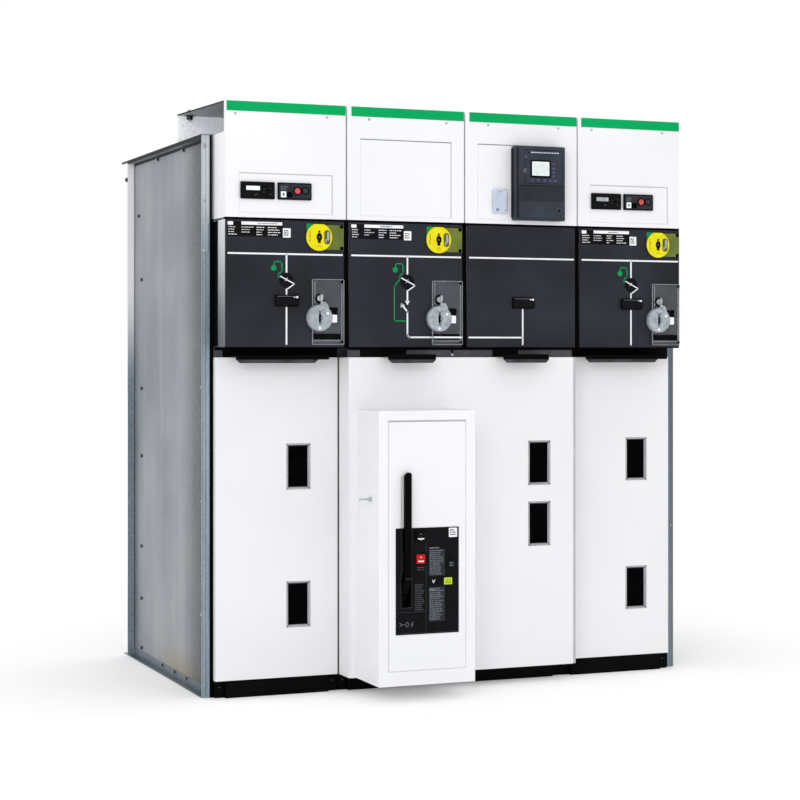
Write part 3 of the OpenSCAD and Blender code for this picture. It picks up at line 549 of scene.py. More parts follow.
def rounded_copy(node, radius):
    """A copy of a CAD node with its sharp edges rounded, in the node's place."""
    def make(bm):
        bm.from_mesh(frame["nodes"][node].data)
        bmesh.ops.remove_doubles(bm, verts=bm.verts, dist=MM / 1000)
        bmesh.ops.dissolve_limit(bm, angle_limit=FLAT, verts=bm.verts, edges=bm.edges)
        joined = [e for e in bm.edges if len(e.link_faces) == 2]
        for edge in joined:
            if FLAT < edge.calc_face_angle() < SHARP:
                for face in edge.link_faces:
                    face.smooth = True
        round_edges(bm, [e for e in joined if e.calc_face_angle() >= SHARP], radius, 2)
    obj = piece(node + "_rounded", make, finish_of(node), node_body[node])
    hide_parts(node)


for node, radius in EDGE_RADIUS.items():
    rounded_copy(node, radius)

# Boxes that the details are placed from

COVERS = [box_mm(f"instrument_cover_{n}") for n in COLUMNS]
PANELS = [box_mm(f"control_panel_{n}") for n in COLUMNS]
FACE_Y = COVERS[0][0].y
SWITCHES = (0, 1, 3)


# Instrument covers: green stripe, screws, painted shade in the plate seams, modules, relay and socket box

STRIPE_H = 27
STRIPE_MARGIN = (3, 12, 12, 10)
SCREW_DROP = 34
SCREW_X = ((27, 286), (63, 292), (69, 287), (43, 272))


@shows(STRIPE)
def cover_stripes(bm):
    for (low, high), margin in zip(COVERS, STRIPE_MARGIN):
        tile(bm, low.x + margin, high.x - 1, high.z - STRIPE_H, high.z - 0.5, FACE_Y, 0.4)


@shows(BOLT)
def cover_screws(bm):
    for (low, high), offsets in zip(COVERS, SCREW_X):
        for x in offsets:
            screw(bm, (low.x + x, FACE_Y, high.z - SCREW_DROP), radius=3.5)


PLATE_SIDE = 38
PLATE_SEAM = 2.5
PLATE_TOP = (119, 222, 222, 119)


def top_seam_shade(bm, i):
    """Painted shade in the seam along the top of the plate in one cover."""
    low, high = COVERS[i]
    top = low.z + PLATE_TOP[i]
    tile(bm, low.x + PLATE_SIDE, high.x - PLATE_SIDE, top - PLATE_SEAM, top, FACE_Y + 2, 1.2)


# Pale grey in the right seams of all plates and the top seams of the outer ones: painted shade
@shows(PALE_SHADE)
def pale_seam_shades(bm):
    for i, (low, high) in enumerate(COVERS):
        x = high.x - PLATE_SIDE
        tile(bm, x - PLATE_SEAM, x, low.z + 12, low.z + PLATE_TOP[i] - PLATE_SEAM, FACE_Y + 2, 1.2)
    top_seam_shade(bm, 0)
    top_seam_shade(bm, 3)


# Grey in the top seams of the middle plates: painted shade
@shows(GREY_PRINT_AND_LIGHT)
def dark_seam_shades(bm):
    top_seam_shade(bm, 1)
    top_seam_shade(bm, 2)


modules_low, modules_high = box_mm("indicator_modules")
MODULE_W = 96
MODULE_PITCH = 104
MODULE_Y = modules_low.y
MODULE_FACE = MODULE_Y - 0.6
MODULE_Z = modules_low.z
MODULE_LEFT = (modules_low.x, modules_high.x - MODULE_W - MODULE_PITCH)
SECOND_LEFT = [x + MODULE_PITCH for x in MODULE_LEFT]


@shows(BLACK, each=MODULE_LEFT)
def module_faces(bm, x):
    tile(bm, x + 4, x + MODULE_W - 4, MODULE_Z + 4, MODULE_Z + 42, MODULE_Y, 0.6, 2, 0.3)
    tile_at(bm, x, MODULE_Z, 12, 58, 18, 38, MODULE_FACE, 0.8, 2, 0.4)


@shows(SLATE, each=SECOND_LEFT)
def module_plates(bm, x):
    tile(bm, x + 4, x + MODULE_W - 4, MODULE_Z + 4, MODULE_Z + 42, MODULE_Y, 0.6, 2, 0.3)


@shows(LEVER, each=MODULE_LEFT)
def module_keys(bm, x):
    for n in range(3):
        lathe(bm, [(0, 1.4), (2.6, 1.4), (3.0, 0.9), (3.0, 0)],
              (x + 66 + 10 * (n % 2), MODULE_FACE, MODULE_Z + 14 + 9 * n))
    second = x + MODULE_PITCH
    lathe(bm, [(0, 7), (6.5, 7), (8, 5.5), (8, 0)], (second + 32, MODULE_FACE, MODULE_Z + 13))
    ring(bm, 9.5, 11.5, 2.5, (second + 55, MODULE_FACE, MODULE_Z + 24))
    ring(bm, 8, 10, 1.8, (second + 77, MODULE_FACE, MODULE_Z + 25))
    tile_at(bm, second, MODULE_Z, 13, 17.5, 11, 17, MODULE_Y - 1.0, 0.2, 0.5)


@shows(OXIDE_AND_SHADE, each=SECOND_LEFT)
def module_buttons(bm, x):
    lathe(bm, [(0, 2.4), (5, 2.2), (7, 1.4), (8, 0)], (x + 77, MODULE_FACE, MODULE_Z + 25))


@shows(GREY_PRINT_AND_LIGHT)
def module_prints(bm):
    for n, (first, second) in enumerate(zip(MODULE_LEFT, SECOND_LEFT)):
        for x, z in ((64, 26), (64, 17), (82, 29), (82, 12), (40, 10), (44, 12)):
            tile(bm, first + x, first + x + 1.6, MODULE_Z + z, MODULE_Z + z + 1.6, MODULE_FACE, 0.2)
        text_rows(bm, second + 8, second + 30, MODULE_Z + 25, MODULE_Z + 37, MODULE_FACE, 4, n + 7, 0.5, 0.35)


def display(bm, x):
    """Display of a module whose left edge is at x."""
    tile_at(bm, x, MODULE_Z, 15, 53, 23, 34, MODULE_Y - 1.4, 0.3, 1, 0.1)


@shows(SCREEN)
def module_screens(bm):
    display(bm, MODULE_LEFT[0])
    for x in SECOND_LEFT:
        tile_at(bm, x, MODULE_Z, 8, 23, 6, 22, MODULE_FACE, 0.4, 1)


@shows(DISPLAY)
def module_display(bm):
    display(bm, MODULE_LEFT[1])


@shows(LAMP, each=SECOND_LEFT)
def module_lamps(bm, x):
    lathe(bm, [(0, 4.2), (4, 3.9), (7, 3.0), (8.5, 1.2), (8.5, 0)], (x + 55, MODULE_FACE, MODULE_Z + 24))


relay_low, relay_high = box_mm("protection_relay")
RELAY_Y = relay_low.y
RELAY_FACE = RELAY_Y - 0.8
SIDE_KEY_Z = (1459, 1447, 1436, 1425)
FOOT_KEY_X = (188, 207, 227, 244, 259)
FOOT_KEY_Z = 1413


@shows(RELAY)
def relay_plates(bm):
    tile(bm, 156, 286, 1400, 1500, RELAY_Y, 0.8, 3, 0.4)
    tile(bm, 150, 288, 1309, 1353, RELAY_Y, 1.0, 2, 0.6)
    lathe(bm, [(0, 1.2), (5.2, 1.2), (6.4, 2.6), (8.2, 2.6), (8.8, 1.6), (8.8, 0)], (271, RELAY_Y - 1, 1329))


@shows(BLACK)
def relay_bezel(bm):
    tile(bm, 183, 246, 1420, 1470, RELAY_FACE, 1.0, 3, 0.5)
    dot(bm, 2.6, 0.6, (178, RELAY_FACE, 1490), steps=16)
    for y0, y1, step in ((-557, -548, 3.6), (-536, -518.5, -0.4)):
        x = relay_low.x + step
        slab(bm, (x, y0, relay_low.z + 7), (x + 0.8, y1, relay_high.z - 7), 0.2)


@shows(KEY)
def relay_keys(bm):
    for z in SIDE_KEY_Z:
        tile(bm, 249, 260, z - 4, z + 4, RELAY_FACE, 1.0, 1.5, 0.4)
    for x in FOOT_KEY_X:
        tile_at(bm, x, FOOT_KEY_Z, -5.5, 5.5, -4.5, 4.5, RELAY_FACE, 1.0, 2, 0.4)


@shows(GREY_PRINT_AND_LIGHT)
def relay_prints(bm):
    tile(bm, 163, 164.5, 1433, 1444, RELAY_FACE, 0.4)
    text_rows(bm, 167, 172, 1433, 1445, RELAY_FACE, 4, 12, 0.6)
    text_rows(bm, 166, 173, 1475, 1481, RELAY_FACE, 2, 11, 0.5)
    for x in FOOT_KEY_X[1:]:
        stroke(bm, (x - 2, FOOT_KEY_Z), (x + 2, FOOT_KEY_Z + 1), 0.8, RELAY_Y - 1.8)
    for z in SIDE_KEY_Z:
        stroke(bm, (253, z - 1), (257, z + 1), 0.8, RELAY_Y - 1.8)
    ring(bm, 7.4, 8.0, 0.3, (271, RELAY_Y - 3.5, 1329))


@shows(LEVER)
def relay_outline(bm):
    line(bm, ((166, 1404), (282, 1404), (282, 1497), (166, 1497), (166, 1404)), 0.9, RELAY_FACE)
    line(bm, ((152, 1398), (286, 1398)), 1.2, RELAY_Y)
    ring(bm, 2.5, 5, 0.5, (271, RELAY_Y - 2.2, 1329))


@shows(SLATE)
def relay_flap(bm):
    tile(bm, 150, 288, 1356, 1396, RELAY_Y, 1.4, 1, 0.6)


@shows(SCREEN)
def relay_screen(bm):
    tile(bm, 188, 241, 1426, 1465, RELAY_Y - 1.8, 0.3, 1.5, 0.1)


@shows(FIELD)
def relay_field(bm):
    tile(bm, 190.5, 238.5, 1428.5, 1462.5, RELAY_Y - 2.1, 0.15)


@shows(PALE)
def relay_lamps(bm):
    for n in range(11):
        tile(bm, 185 + 8 * n, 190.5 + 8 * n, 1488.8, 1492.2, RELAY_FACE, 1.2, 0.5, 0.3)


socket_low, socket_high = box_mm("socket_box")


@shows(PALE)
def socket_lid(bm):
    low, high = socket_low, socket_high
    tile(bm, low.x + 6, high.x - 6, low.z + 14, high.z - 10, low.y, 0.8, 2, 0.4)


@shows(GREY_PRINT_AND_LIGHT)
def socket_marks(bm):
    x0, x1, z0, z1 = socket_low.x, socket_high.x, socket_low.z, socket_high.z
    dot(bm, 4.5, 0.4, (x0 + 13, socket_low.y, z0 + 9), steps=20)
    dot(bm, 1.8, 0.4, (x1 - 7, socket_low.y, z0 + 8), steps=12)
    line(bm, [(-6, -2), (0, 2), (6, -2)], 1.2, socket_low.y, ((x0 + x1) / 2, z1 - 6))


# Control panels: mimic lines, labels, dark seams with painted shade, marker blocks with painted highlights

MIMIC_X = [(low.x + high.x) / 2 + 3 for low, high in PANELS]
BUS_Z = 1195
LINE_W = 4.6
GREEN_W = 3.0
DISC_Z = 1125
DISC_R = 20
BLOCK_TOP = 1086
BLOCK_LOW = 1053
FOOT_Z = 952
TIE_Z = 973
BLADE = ((-17.5, 10), (22, -10), (1, -24))
EARTH_DOT = (-36, 32.5)
EARTH_MARK = ((-34.5, 40), (-34.5, 50), (-13.8, 49), (-12.4, 24), (-23.5, 16), (-22, 7.5))
EARTH_LOOP = EARTH_MARK + ((-38.6, -12.5), (-38.6, -107.5), (-3, -107.5))
DISC_FACE = box_mm("position_indicators")[0].y


@shows(PRINT_AND_GLINTS)
def mimic_lines(bm):
    for i, (low, high) in enumerate(PANELS):
        x = MIMIC_X[i]
        stroke(bm, (low.x + 6, BUS_Z), (high.x - 4, BUS_Z), LINE_W, FACE_Y, cap=0)
        if i != 2:
            stroke(bm, (x, BUS_Z), (x, DISC_Z + DISC_R), LINE_W, FACE_Y, cap=0)
            line(bm, BLADE, 3.0, DISC_FACE, (x, DISC_Z))
            line(bm, ((-4, -1), (1, 5)), 2.0, DISC_FACE, (x, DISC_Z))
        if i in (0, 3):
            stroke(bm, (x, DISC_Z - 23), (x, BLOCK_TOP), LINE_W, FACE_Y, cap=0)
            stroke(bm, (x, BLOCK_LOW), (x, FOOT_Z), LINE_W, FACE_Y, cap=0)
    x = MIMIC_X[1]
    edge = PANELS[1][1].x - 4
    stroke(bm, (x, DISC_Z - 23), (x, 1071), LINE_W, FACE_Y, cap=0)
    plate(bm, ((x - 7, 1073), (x + 7, 1073), (x, 1061)), FACE_Y, 0.3)
    line(bm, ((-17, 1063), (0, 1043), (0, TIE_Z + 6), (6, TIE_Z), (edge - x, TIE_Z)), LINE_W, FACE_Y, (x, 0))
    line(bm, ((-19, 1056), (-17, 1063), (-10, 1061)), 2.4, FACE_Y, (x, 0))
    x = MIMIC_X[2]
    stroke(bm, (x, BLOCK_LOW), (x, FOOT_Z), LINE_W, FACE_Y, cap=0)
    stroke(bm, (PANELS[2][0].x + 4, TIE_Z), (x, TIE_Z), LINE_W, FACE_Y, cap=0)


@shows(GREEN_PRINT, each=SWITCHES)
def earth_lines(bm, i):
    at = (MIMIC_X[i], DISC_Z)
    line(bm, EARTH_LOOP if i == 1 else EARTH_MARK, GREEN_W, FACE_Y, at)
    dot(bm, 7.5, 0.5, (at[0] + EARTH_DOT[0], FACE_Y, at[1] + EARTH_DOT[1]))


LABEL_Z = 1240
LABEL_ROWS = ((8, 34, 2, 4, 20, 0.5, 0.3), (44, 78, 8, 3, 30, 0.4, 0.25), (86, 112, 2, 4, 40, 0.3, 0.3),
              (118, 156, 2, 4, 50, 0.5, 0.3))


@shows(BLACK, each=SWITCHES)
def label_films(bm, i):
    x = PANELS[i][0].x
    tile(bm, x + 5, x + 160, LABEL_Z, LABEL_Z + 40, FACE_Y, 0.2)


@shows(PRINT_AND_GLINTS, each=SWITCHES)
def label_whites(bm, i):
    x = PANELS[i][0].x
    tile_at(bm, x, LABEL_Z, 6, 21, 30, 39, FACE_Y - 0.2, 0.2, 1)
    tile_at(bm, x, LABEL_Z, 44, 158, 31, 39.5, FACE_Y - 0.2, 0.2)
    tile_at(bm, x, LABEL_Z, 160, 182, -1, 24, FACE_Y, 0.3, 1.5)
    for x0, x1, z0, rows, seed, fill, weight in LABEL_ROWS:
        text_rows(bm, x + x0, x + x1, LABEL_Z + z0, LABEL_Z + 28, FACE_Y - 0.2, rows, seed + i, fill, weight)


@shows(LEVER, each=SWITCHES)
def label_marks(bm, i):
    x = PANELS[i][0].x
    text_rows(bm, x + 163, x + 180, LABEL_Z + 3, LABEL_Z + 20, FACE_Y - 0.3, 3, 60 + i, 0.6)
    text_rows(bm, x + 90, x + 150, LABEL_Z + 33, LABEL_Z + 37, FACE_Y - 0.4, 1, 70 + i, 0.4)


PANEL_SEAM = 339
BLOCK_COLUMNS = (0, 2, 3)


# Black seals above, below and between the control panels; their black also stands in for the shade in these
# gaps
@shows(RUBBER_AND_SHADE)
def panel_seals_and_gap_shade(bm):
    first, last = PANELS[0][0], PANELS[3][1]
    slab(bm, (first.x, FACE_Y + 1, first.z - 2), (last.x, FACE_Y + 14, first.z), 0.3)
    slab(bm, (first.x, FACE_Y + 1, last.z), (last.x, FACE_Y + 14, COVERS[0][0].z), 0.3)
    for (_, left), (right, _) in zip(PANELS, PANELS[1:]):
        slab(bm, (left.x, FACE_Y + 5, left.z - PANEL_SEAM), (right.x, FACE_Y + 12, left.z), 0.3)


# Grey line near the top of each marker block: a painted highlight on its top edge
@shows(GREY_PRINT_AND_LIGHT, each=BLOCK_COLUMNS)
def block_top_highlights(bm, i):
    x = MIMIC_X[i]
    tile_at(bm, x, BLOCK_TOP, -29, 17, -5, -4.2, FACE_Y - 11, 1.3)


# Small white squares near the top right of each marker block: painted glints
@shows(PRINT_AND_GLINTS, each=BLOCK_COLUMNS)
def block_top_glints(bm, i):
    x = MIMIC_X[i]
    tile_at(bm, x, BLOCK_TOP, 17, 21, -8, -5, FACE_Y - 11, 1.4, 0.5)
    tile_at(bm, x, BLOCK_TOP, 23, 29, -9, -4, FACE_Y - 11, 1.4, 0.5)


# Switch shafts: yellow earthing discs, grey operating discs, locks and clear covers

DISC_INSET = 73
EARTH_Z = 1242
OPERATE_Z = 1024
LOCK_Z = 1077
EARTH_FACE = box_mm("earthing_discs")[0].y
OPERATE_FACE = box_mm("operating_discs")[0].y
LOCK_FACE = box_mm("key_locks")[0].y
clear_low, clear_high = box_mm("operating_covers")
CLEAR_FACE = clear_low.y
CLEAR_W = 92
CLEAR_EDGE_GAP = 3
DISC_X = [high.x - DISC_INSET for low, high in PANELS]


@shows(GREEN_PRINT, each=SWITCHES)
def earth_patches(bm, i):
    tile_at(bm, DISC_X[i], EARTH_Z, -34, -8, 5, 36, FACE_Y, 0.4)


@shows(LEVER, each=SWITCHES)
def earth_slots(bm, i):
    x = DISC_X[i]
    plate(bm, [(x + 8 * math.sin(a * math.tau / 16), EARTH_Z + 11 * math.cos(a * math.tau / 16))
               for a in range(16)], EARTH_FACE, 0.3)
    dot(bm, 3, 0.3, (x, EARTH_FACE, EARTH_Z + 15), steps=16)
    tile_at(bm, x, EARTH_Z, -4, 4, -16, -11, EARTH_FACE, 0.3, 1)
    for z in (EARTH_Z + 29, EARTH_Z - 29):
        screw(bm, (PANELS[i][1].x - 8, FACE_Y - 3, z), radius=5)
    for z in (OPERATE_Z + 98, OPERATE_Z - 64):
        screw(bm, (PANELS[i][1].x - 9, CLEAR_FACE, z), radius=4)


@shows(OLIVE_DARK, each=SWITCHES)
def earth_windows(bm, i):
    x = DISC_X[i]
    tile_at(bm, x, EARTH_Z, 14, 31, -19, 19, EARTH_FACE, 0.3, 7)
    dot(bm, 3, 0.5, (x, EARTH_FACE, EARTH_Z), steps=16)
    text_rows(bm, x - 28, x - 24, EARTH_Z - 14, EARTH_Z + 16, EARTH_FACE, 9, 90 + i, 0.6)
    line(bm, ((-6, -27), (0, -21), (6, -27)), 0.8, EARTH_FACE, (x, EARTH_Z))


@shows(GREY_AND_GLINTS, each=SWITCHES)
def earth_glints(bm, i):
    x = DISC_X[i]
    tile_at(bm, x, EARTH_Z, 22, 28, -9, 15, EARTH_FACE - 0.3, 0.5, 2.8, 0.2)
    tile_at(bm, x, EARTH_Z, 17, 21, -15, -5, EARTH_FACE - 0.3, 0.5, 1.8, 0.2)


@shows(BLACK_COAT_AND_SHADOW, each=SWITCHES)
def clear_shades(bm, i):
    x1 = PANELS[i][1].x - CLEAR_EDGE_GAP
    tile(bm, x1 - CLEAR_W + 4, x1 - 10, OPERATE_Z - 57, OPERATE_Z - 42, CLEAR_FACE, 0.3)
    tile_at(bm, DISC_X[i], OPERATE_Z, 28, 51, -12, 29, CLEAR_FACE, 0.3, 2)


@shows(PRINT_AND_GLINTS, each=SWITCHES)
def disc_tabs_and_glint(bm, i):
    x = DISC_X[i]
    tile_at(bm, x, OPERATE_Z, 30, 49, -12, 9, CLEAR_FACE - 0.3, 2.2, 2, 0.6)
    # The white dot below the disc's middle is a painted glint
    dot(bm, 4, 0.5, (x - 1, OPERATE_FACE, OPERATE_Z - 27))
    tile_at(bm, x, OPERATE_Z, 18, 25, 9, 16, OPERATE_FACE, 0.3, 2)


@shows(GREY_AND_GLINTS, each=SWITCHES)
def disc_arcs(bm, i):
    at = (DISC_X[i], OPERATE_FACE, OPERATE_Z)
    ring(bm, 12.5, 14.5, 0.6, at)
    ring(bm, 32.5, 34.2, 0.5, at)
    lathe(bm, [(0, 2), (11, 2), (12, 1), (12, 0)], (at[0] + 11, CLEAR_FACE, OPERATE_Z + 32))


@shows(GREY_PRINT_AND_LIGHT, each=SWITCHES)
def disc_marks(bm, i):
    at = (DISC_X[i], OPERATE_Z)
    line(bm, ((-13, 20), (-3, 10)), 1.4, OPERATE_FACE, at)
    line(bm, ((13, 20), (3, 10)), 1.4, OPERATE_FACE, at)
    line(bm, ((16, -20), (24, -8), (26, 4)), 1.2, OPERATE_FACE, at)
    ring(bm, 34.4, 35.4, 0.2, (at[0], OPERATE_FACE, at[1]))


@shows(PRINT_AND_GLINTS)
def cover_tie(bm):
    x1 = PANELS[1][1].x - CLEAR_EDGE_GAP
    stroke(bm, (x1 - CLEAR_W + 4, TIE_Z), (x1 - 2, TIE_Z), LINE_W, CLEAR_FACE - 0.3, cap=0)


@shows(LEVER, each=SWITCHES)
def disc_slots(bm, i):
    x = DISC_X[i]
    tile_at(bm, x, OPERATE_Z, -3.5, 3.5, -17, 17, OPERATE_FACE + 9, 1)
    ring(bm, 4.4, 5.8, 0.4, (x + 2, OPERATE_FACE, OPERATE_Z), steps=20)
    stroke(bm, (x, OPERATE_Z - 13), (x, OPERATE_Z + 16), 2.4, OPERATE_FACE)
    for side in SIDES:
        stroke(bm, (x, OPERATE_Z + 16), (x + 7 * side, OPERATE_Z + 23), 1.3, OPERATE_FACE)
    lathe(bm, [(8.4, -1), (13, -1), (13, 0.8), (8.4, 0.8)], (x - 1, CLEAR_FACE, LOCK_Z))


@shows(BOLT, each=SWITCHES)
def lock_keys(bm, i):
    x = DISC_X[i]
    slab(bm, (x - 0.5, LOCK_FACE - 9, LOCK_Z - 17), (x + 3.5, LOCK_FACE, LOCK_Z + 12), 1.8)
    slab(bm, (x + 3, LOCK_FACE - 4, LOCK_Z - 4), (x + 8, LOCK_FACE, LOCK_Z + 9), 1.4)


@shows(BOLT, each=SWITCHES)
def lock_barrels(bm, i):
    lathe(bm, [(0, 2.2), (5, 2.2), (5.4, 1.6), (5.4, 0)], (DISC_X[i], LOCK_FACE, LOCK_Z))


# Light lines along and inside the edges of each clear cover: painted highlights
@shows(CLEAR_EDGE, each=SWITCHES)
def clear_edge_highlights(bm, i):
    x1 = PANELS[i][1].x - CLEAR_EDGE_GAP
    x0 = x1 - CLEAR_W
    z0, z1 = clear_low.z, clear_high.z
    for x, low, high in ((x1 - 1, z0, z1), (x1 - 7, z0, z1),
                         (x0 + 1, OPERATE_Z + 28, z1), (x0 + 1, z0, OPERATE_Z - 28)):
        stroke(bm, (x, low + 2), (x, high - 2), 1.2, CLEAR_FACE, 0.3, 0)
    for z in (z0 + 1, z0 + 11, z1 - 1):
        stroke(bm, (x0 + 2, z), (x1 - 2, z), 1.2, CLEAR_FACE, 0.3, 0)
    stroke(bm, (x0 + 8, OPERATE_Z + 40), (x0 + 8, z1 - 6), 1.2, CLEAR_FACE, 0.3, 0)


# Doors: finger lips of the grips with painted light, painted shadow on the rails, screws, seals, window
# frames with painted shadow under their heads, and a painted shadow strip along the middle door's edge

DOORS = [box_mm(name) for name in ("left_door", "middle_door", "right_door")]
LIPS = ((0, -650.5, -418.5), (1, -244, -104), (1, 100, 240), (2, 397.5, 629.5))
LIP_Z = (903, 912)
LIP_SLOPE = 10
GRIP_FRONT = -51
RAIL_BACK = 9
SCREW_INSET = 14
PLINTH_FRONT = -420


# Grey lower faces of the grips: painted light on the sloped face of the black grip
@shows(LIP_LIGHT_AND_HEAD_SHADE)
def grip_lips_painted_light(bm):
    for door, x0, x1 in LIPS:
        y = DOORS[door][0].y + GRIP_FRONT
        part = block((x0, y - 0.6, LIP_Z[0] - 0.4), (x1, y + 4.4, LIP_Z[1]))
        for vert in part.verts:
            if vert.co.z < LIP_Z[0] * MM:
                vert.co.x -= math.copysign(LIP_SLOPE * MM, vert.co.x - (x0 + x1) / 2 * MM)
        round_edges(part, part.edges[:], 0.5, 2)
        put(bm, part)


# Black tiles on the rails: painted shadow under the panels and behind the grips, with a dark joint in the
# middle rail
@shows(BLACK_COAT_AND_SHADOW)
def rail_painted_shadows(bm):
    for door in (0, 2):
        low, high = DOORS[door]
        tile(bm, low.x + 22, high.x, 918.5, 937, low.y + RAIL_BACK, 0.6)
        tile(bm, low.x, high.x, 937, 945, low.y + RAIL_BACK, 0.6)
    low, high = DOORS[1]
    y = low.y + RAIL_BACK
    tile(bm, low.x, high.x, 938, 945.5, y, 0.6)
    tile(bm, -305, -168, 919, 938, y, 0.5)
    tile(bm, 92, 172, 919, 938, y, 0.5)
    tile(bm, -34, -28, 930, 938, y, 0.5)


@shows(BOLT)
def rail_screws(bm):
    screw(bm, (-31, DOORS[1][0].y + RAIL_BACK, 925), radius=4)


@shows(OXIDE_AND_SHADE)
def plinth_screws(bm):
    for low, high in DOORS:
        for x in (low.x + SCREW_INSET, high.x - SCREW_INSET):
            screw(bm, (x, PLINTH_FRONT, 29), radius=3)


SEAL_Z = (1, 1517)
POST_FRONT = -405


@shows(RUBBER_AND_SHADE)
def edge_seals_and_housing_shade(bm):
    foot, top = SEAL_Z
    cover = COVERS[0][0].z
    for x0, x1, z0, z1 in ((-702.5, -693.8, foot, cover), (-702.5, -697.5, cover, top),
                           (682, 702.5, foot, top)):
        slab(bm, (x0, POST_FRONT - 6, z0), (x1, POST_FRONT, z1), 0.5)
    # Black slab on the back part of the first mechanism housing's side: painted shade
    low, high = PANELS[0]
    slab(bm, (low.x - 1.2, -449, low.z + 2), (low.x, POST_FRONT - 1, high.z - 1), 0.3)
    low, high = DOORS[0]
    slab(bm, (high.x - 1, -433, low.z), (high.x + 2.5, -422, high.z), 0.2)
    x = DOORS[1][1].x
    slab(bm, (x, -430, low.z), (x + 2.5, -422, high.z), 0.2)


WINDOWS = ((0, -458, 244), (0, -458, 620), (1, 234, 448), (1, 234, 620), (2, 586.5, 244), (2, 586.5, 620))
WINDOW_HALF = Vector((34.2, 0, 62.2))
WINDOW_PROUD = 0.5


def window_point(window, side, up, inset, drop):
    """Point on a window frame, so far in from a corner and so deep behind its front."""
    door, x, z = window
    return (x + side * (WINDOW_HALF.x - inset), DOORS[door][0].y - WINDOW_PROUD + drop,
            z + up * (WINDOW_HALF.z - inset))


@shows(FAINT_PRINT, each=WINDOWS)
def window_mitres(bm, window):
    for side in SIDES:
        for up in SIDES:
            lip = window_point(window, side, up, 2.6, 0)
            bar(bm, window_point(window, side, up, 0.8, 0), lip, 1.8)
            bar(bm, lip, window_point(window, side, up, 6.4, 6.3), 1.8)


# Dark bar inside the top of each window frame: painted shadow under its head
@shows(LIP_LIGHT_AND_HEAD_SHADE, each=WINDOWS)
def window_head_shadows(bm, window):
    bar(bm, window_point(window, -1, 1, 4.8, 3.6), window_point(window, 1, 1, 4.8, 3.6), 3.2)


# Pale grey strip along the middle door's right edge: painted shadow beside the door
@shows(PALE_SHADE)
def door_edge_shadow(bm):
    low, high = DOORS[1]
    slab(bm, (high.x - 0.5, low.y + 0.6, low.z + 1), (high.x + 8, low.y + 9, high.z - 1), 0.4)


# Breaker front: fascia fields, prints, button marks, flags

FASCIA_Y = box_mm("breaker_fascia")[0].y
close_low, close_high = box_mm("close_button")
open_low, open_high = box_mm("open_button")
BUTTON_X = (close_low.x + close_high.x) / 2
BUTTON_Y = close_low.y
CLOSE_Z = (close_low.z + close_high.z) / 2
OPEN_Z = (open_low.z + open_high.z) / 2
BUTTON_RIM = ((-17, -13.8, -16, 16), (13.8, 17, -16, 16), (-17, 17, 13.3, 16), (-17, 17, -16, -13.3))


@shows(BLACK)
def fascia_fields(bm):
    tile(bm, -180, -95, 205, 307, FASCIA_Y, 0.6, 1.5, 0.3)
    tile(bm, -180, -95, 333, 434, FASCIA_Y, 0.6, 1.5, 0.3)
    tile(bm, -262, -187, 186, 233, FASCIA_Y, 0.8, 1.5, 0.4)
    lathe(bm, [(0, 0.8), (6, 0.8), (8, 2.2), (9, 2.2), (9.5, 0)], (-202, FASCIA_Y - 0.8, 212))
    lathe(bm, [(0, 0.6), (2.5, 0.6), (3.2, 2), (4.5, 2), (4.5, 0)], (-114, FASCIA_Y - 0.6, 381), steps=20)
    for z in (CLOSE_Z, OPEN_Z):
        for x0, x1, z0, z1 in BUTTON_RIM:
            slab(bm, (BUTTON_X + x0, FASCIA_Y - 1.2, z + z0), (BUTTON_X + x1, FASCIA_Y, z + z1), 0.3)


@shows(SLATE)
def fascia_slates(bm):
    tile(bm, -178.5, -132, 335.5, 407, FASCIA_Y - 0.6, 0.3)
    tile(bm, -178.5, -132, 214, 306, FASCIA_Y - 0.6, 0.3)


@shows(DIM_PRINT)
def fascia_prints(bm):
    text_rows(bm, -176, -135, 338, 405, FASCIA_Y - 0.9, 13, 81, 0.7)
    text_rows(bm, -176, -135, 217, 304, FASCIA_Y - 0.9, 16, 82, 0.7)
    text_rows(bm, -118, -103, 358, 372, FASCIA_Y - 0.6, 2, 85, 0.6)


@shows(FAINT_PRINT)
def fascia_faint_prints(bm):
    text_rows(bm, -218, -190, 244, 316, FASCIA_Y, 13, 83, 0.7)
    text_rows(bm, -212, -190, 350, 362, FASCIA_Y, 2, 84, 0.6)


@shows(GREY_PRINT_AND_LIGHT)
def fascia_symbols(bm):
    y = FASCIA_Y - 0.8
    line(bm, ((-262, 214), (-256, 209), (-262, 204)), 1.0, y)
    line(bm, ((-256, 209), (-249, 209)), 1.0, y)
    line(bm, ((-246, 209), (-240, 216), (-235, 209), (-241, 202), (-246, 209)), 1.0, y)
    line(bm, ((-229, 202), (-224, 209), (-229, 209), (-224, 216)), 1.0, y)
    line(bm, ((-176, 410), (-150, 410)), 2.2, FASCIA_Y - 0.9)
    line(bm, ((-176, 299), (-158, 299)), 1.6, FASCIA_Y - 1.2)


@shows(FAINT_PRINT)
def fascia_edges(bm):
    for start, end in (((-258, 256), (-258, 462)), ((-227, 256), (-227, 462)), ((-258, 253), (-227, 253)),
                       ((-271, 241), (-187, 241)), ((-186, 187), (-186, 460)), ((-271, 185), (-93, 185))):
        stroke(bm, start, end, 0.7, FASCIA_Y, 0.3)


@shows(FRAME_GREY_AND_GAP_SHADE)
def cover_gap_shade(bm):
    tile(bm, -294.5, -67.5, 746.2, 751.3, FASCIA_Y + 4.4, 0.6)


@shows(PRINT_AND_GLINTS)
def fascia_label(bm):
    tile(bm, -120, -96, 437, 462, FASCIA_Y, 0.5, 2, 0.2)


@shows(LEVER)
def fascia_label_marks(bm):
    text_rows(bm, -117, -99, 441, 459, FASCIA_Y - 0.5, 3, 86, 0.6)


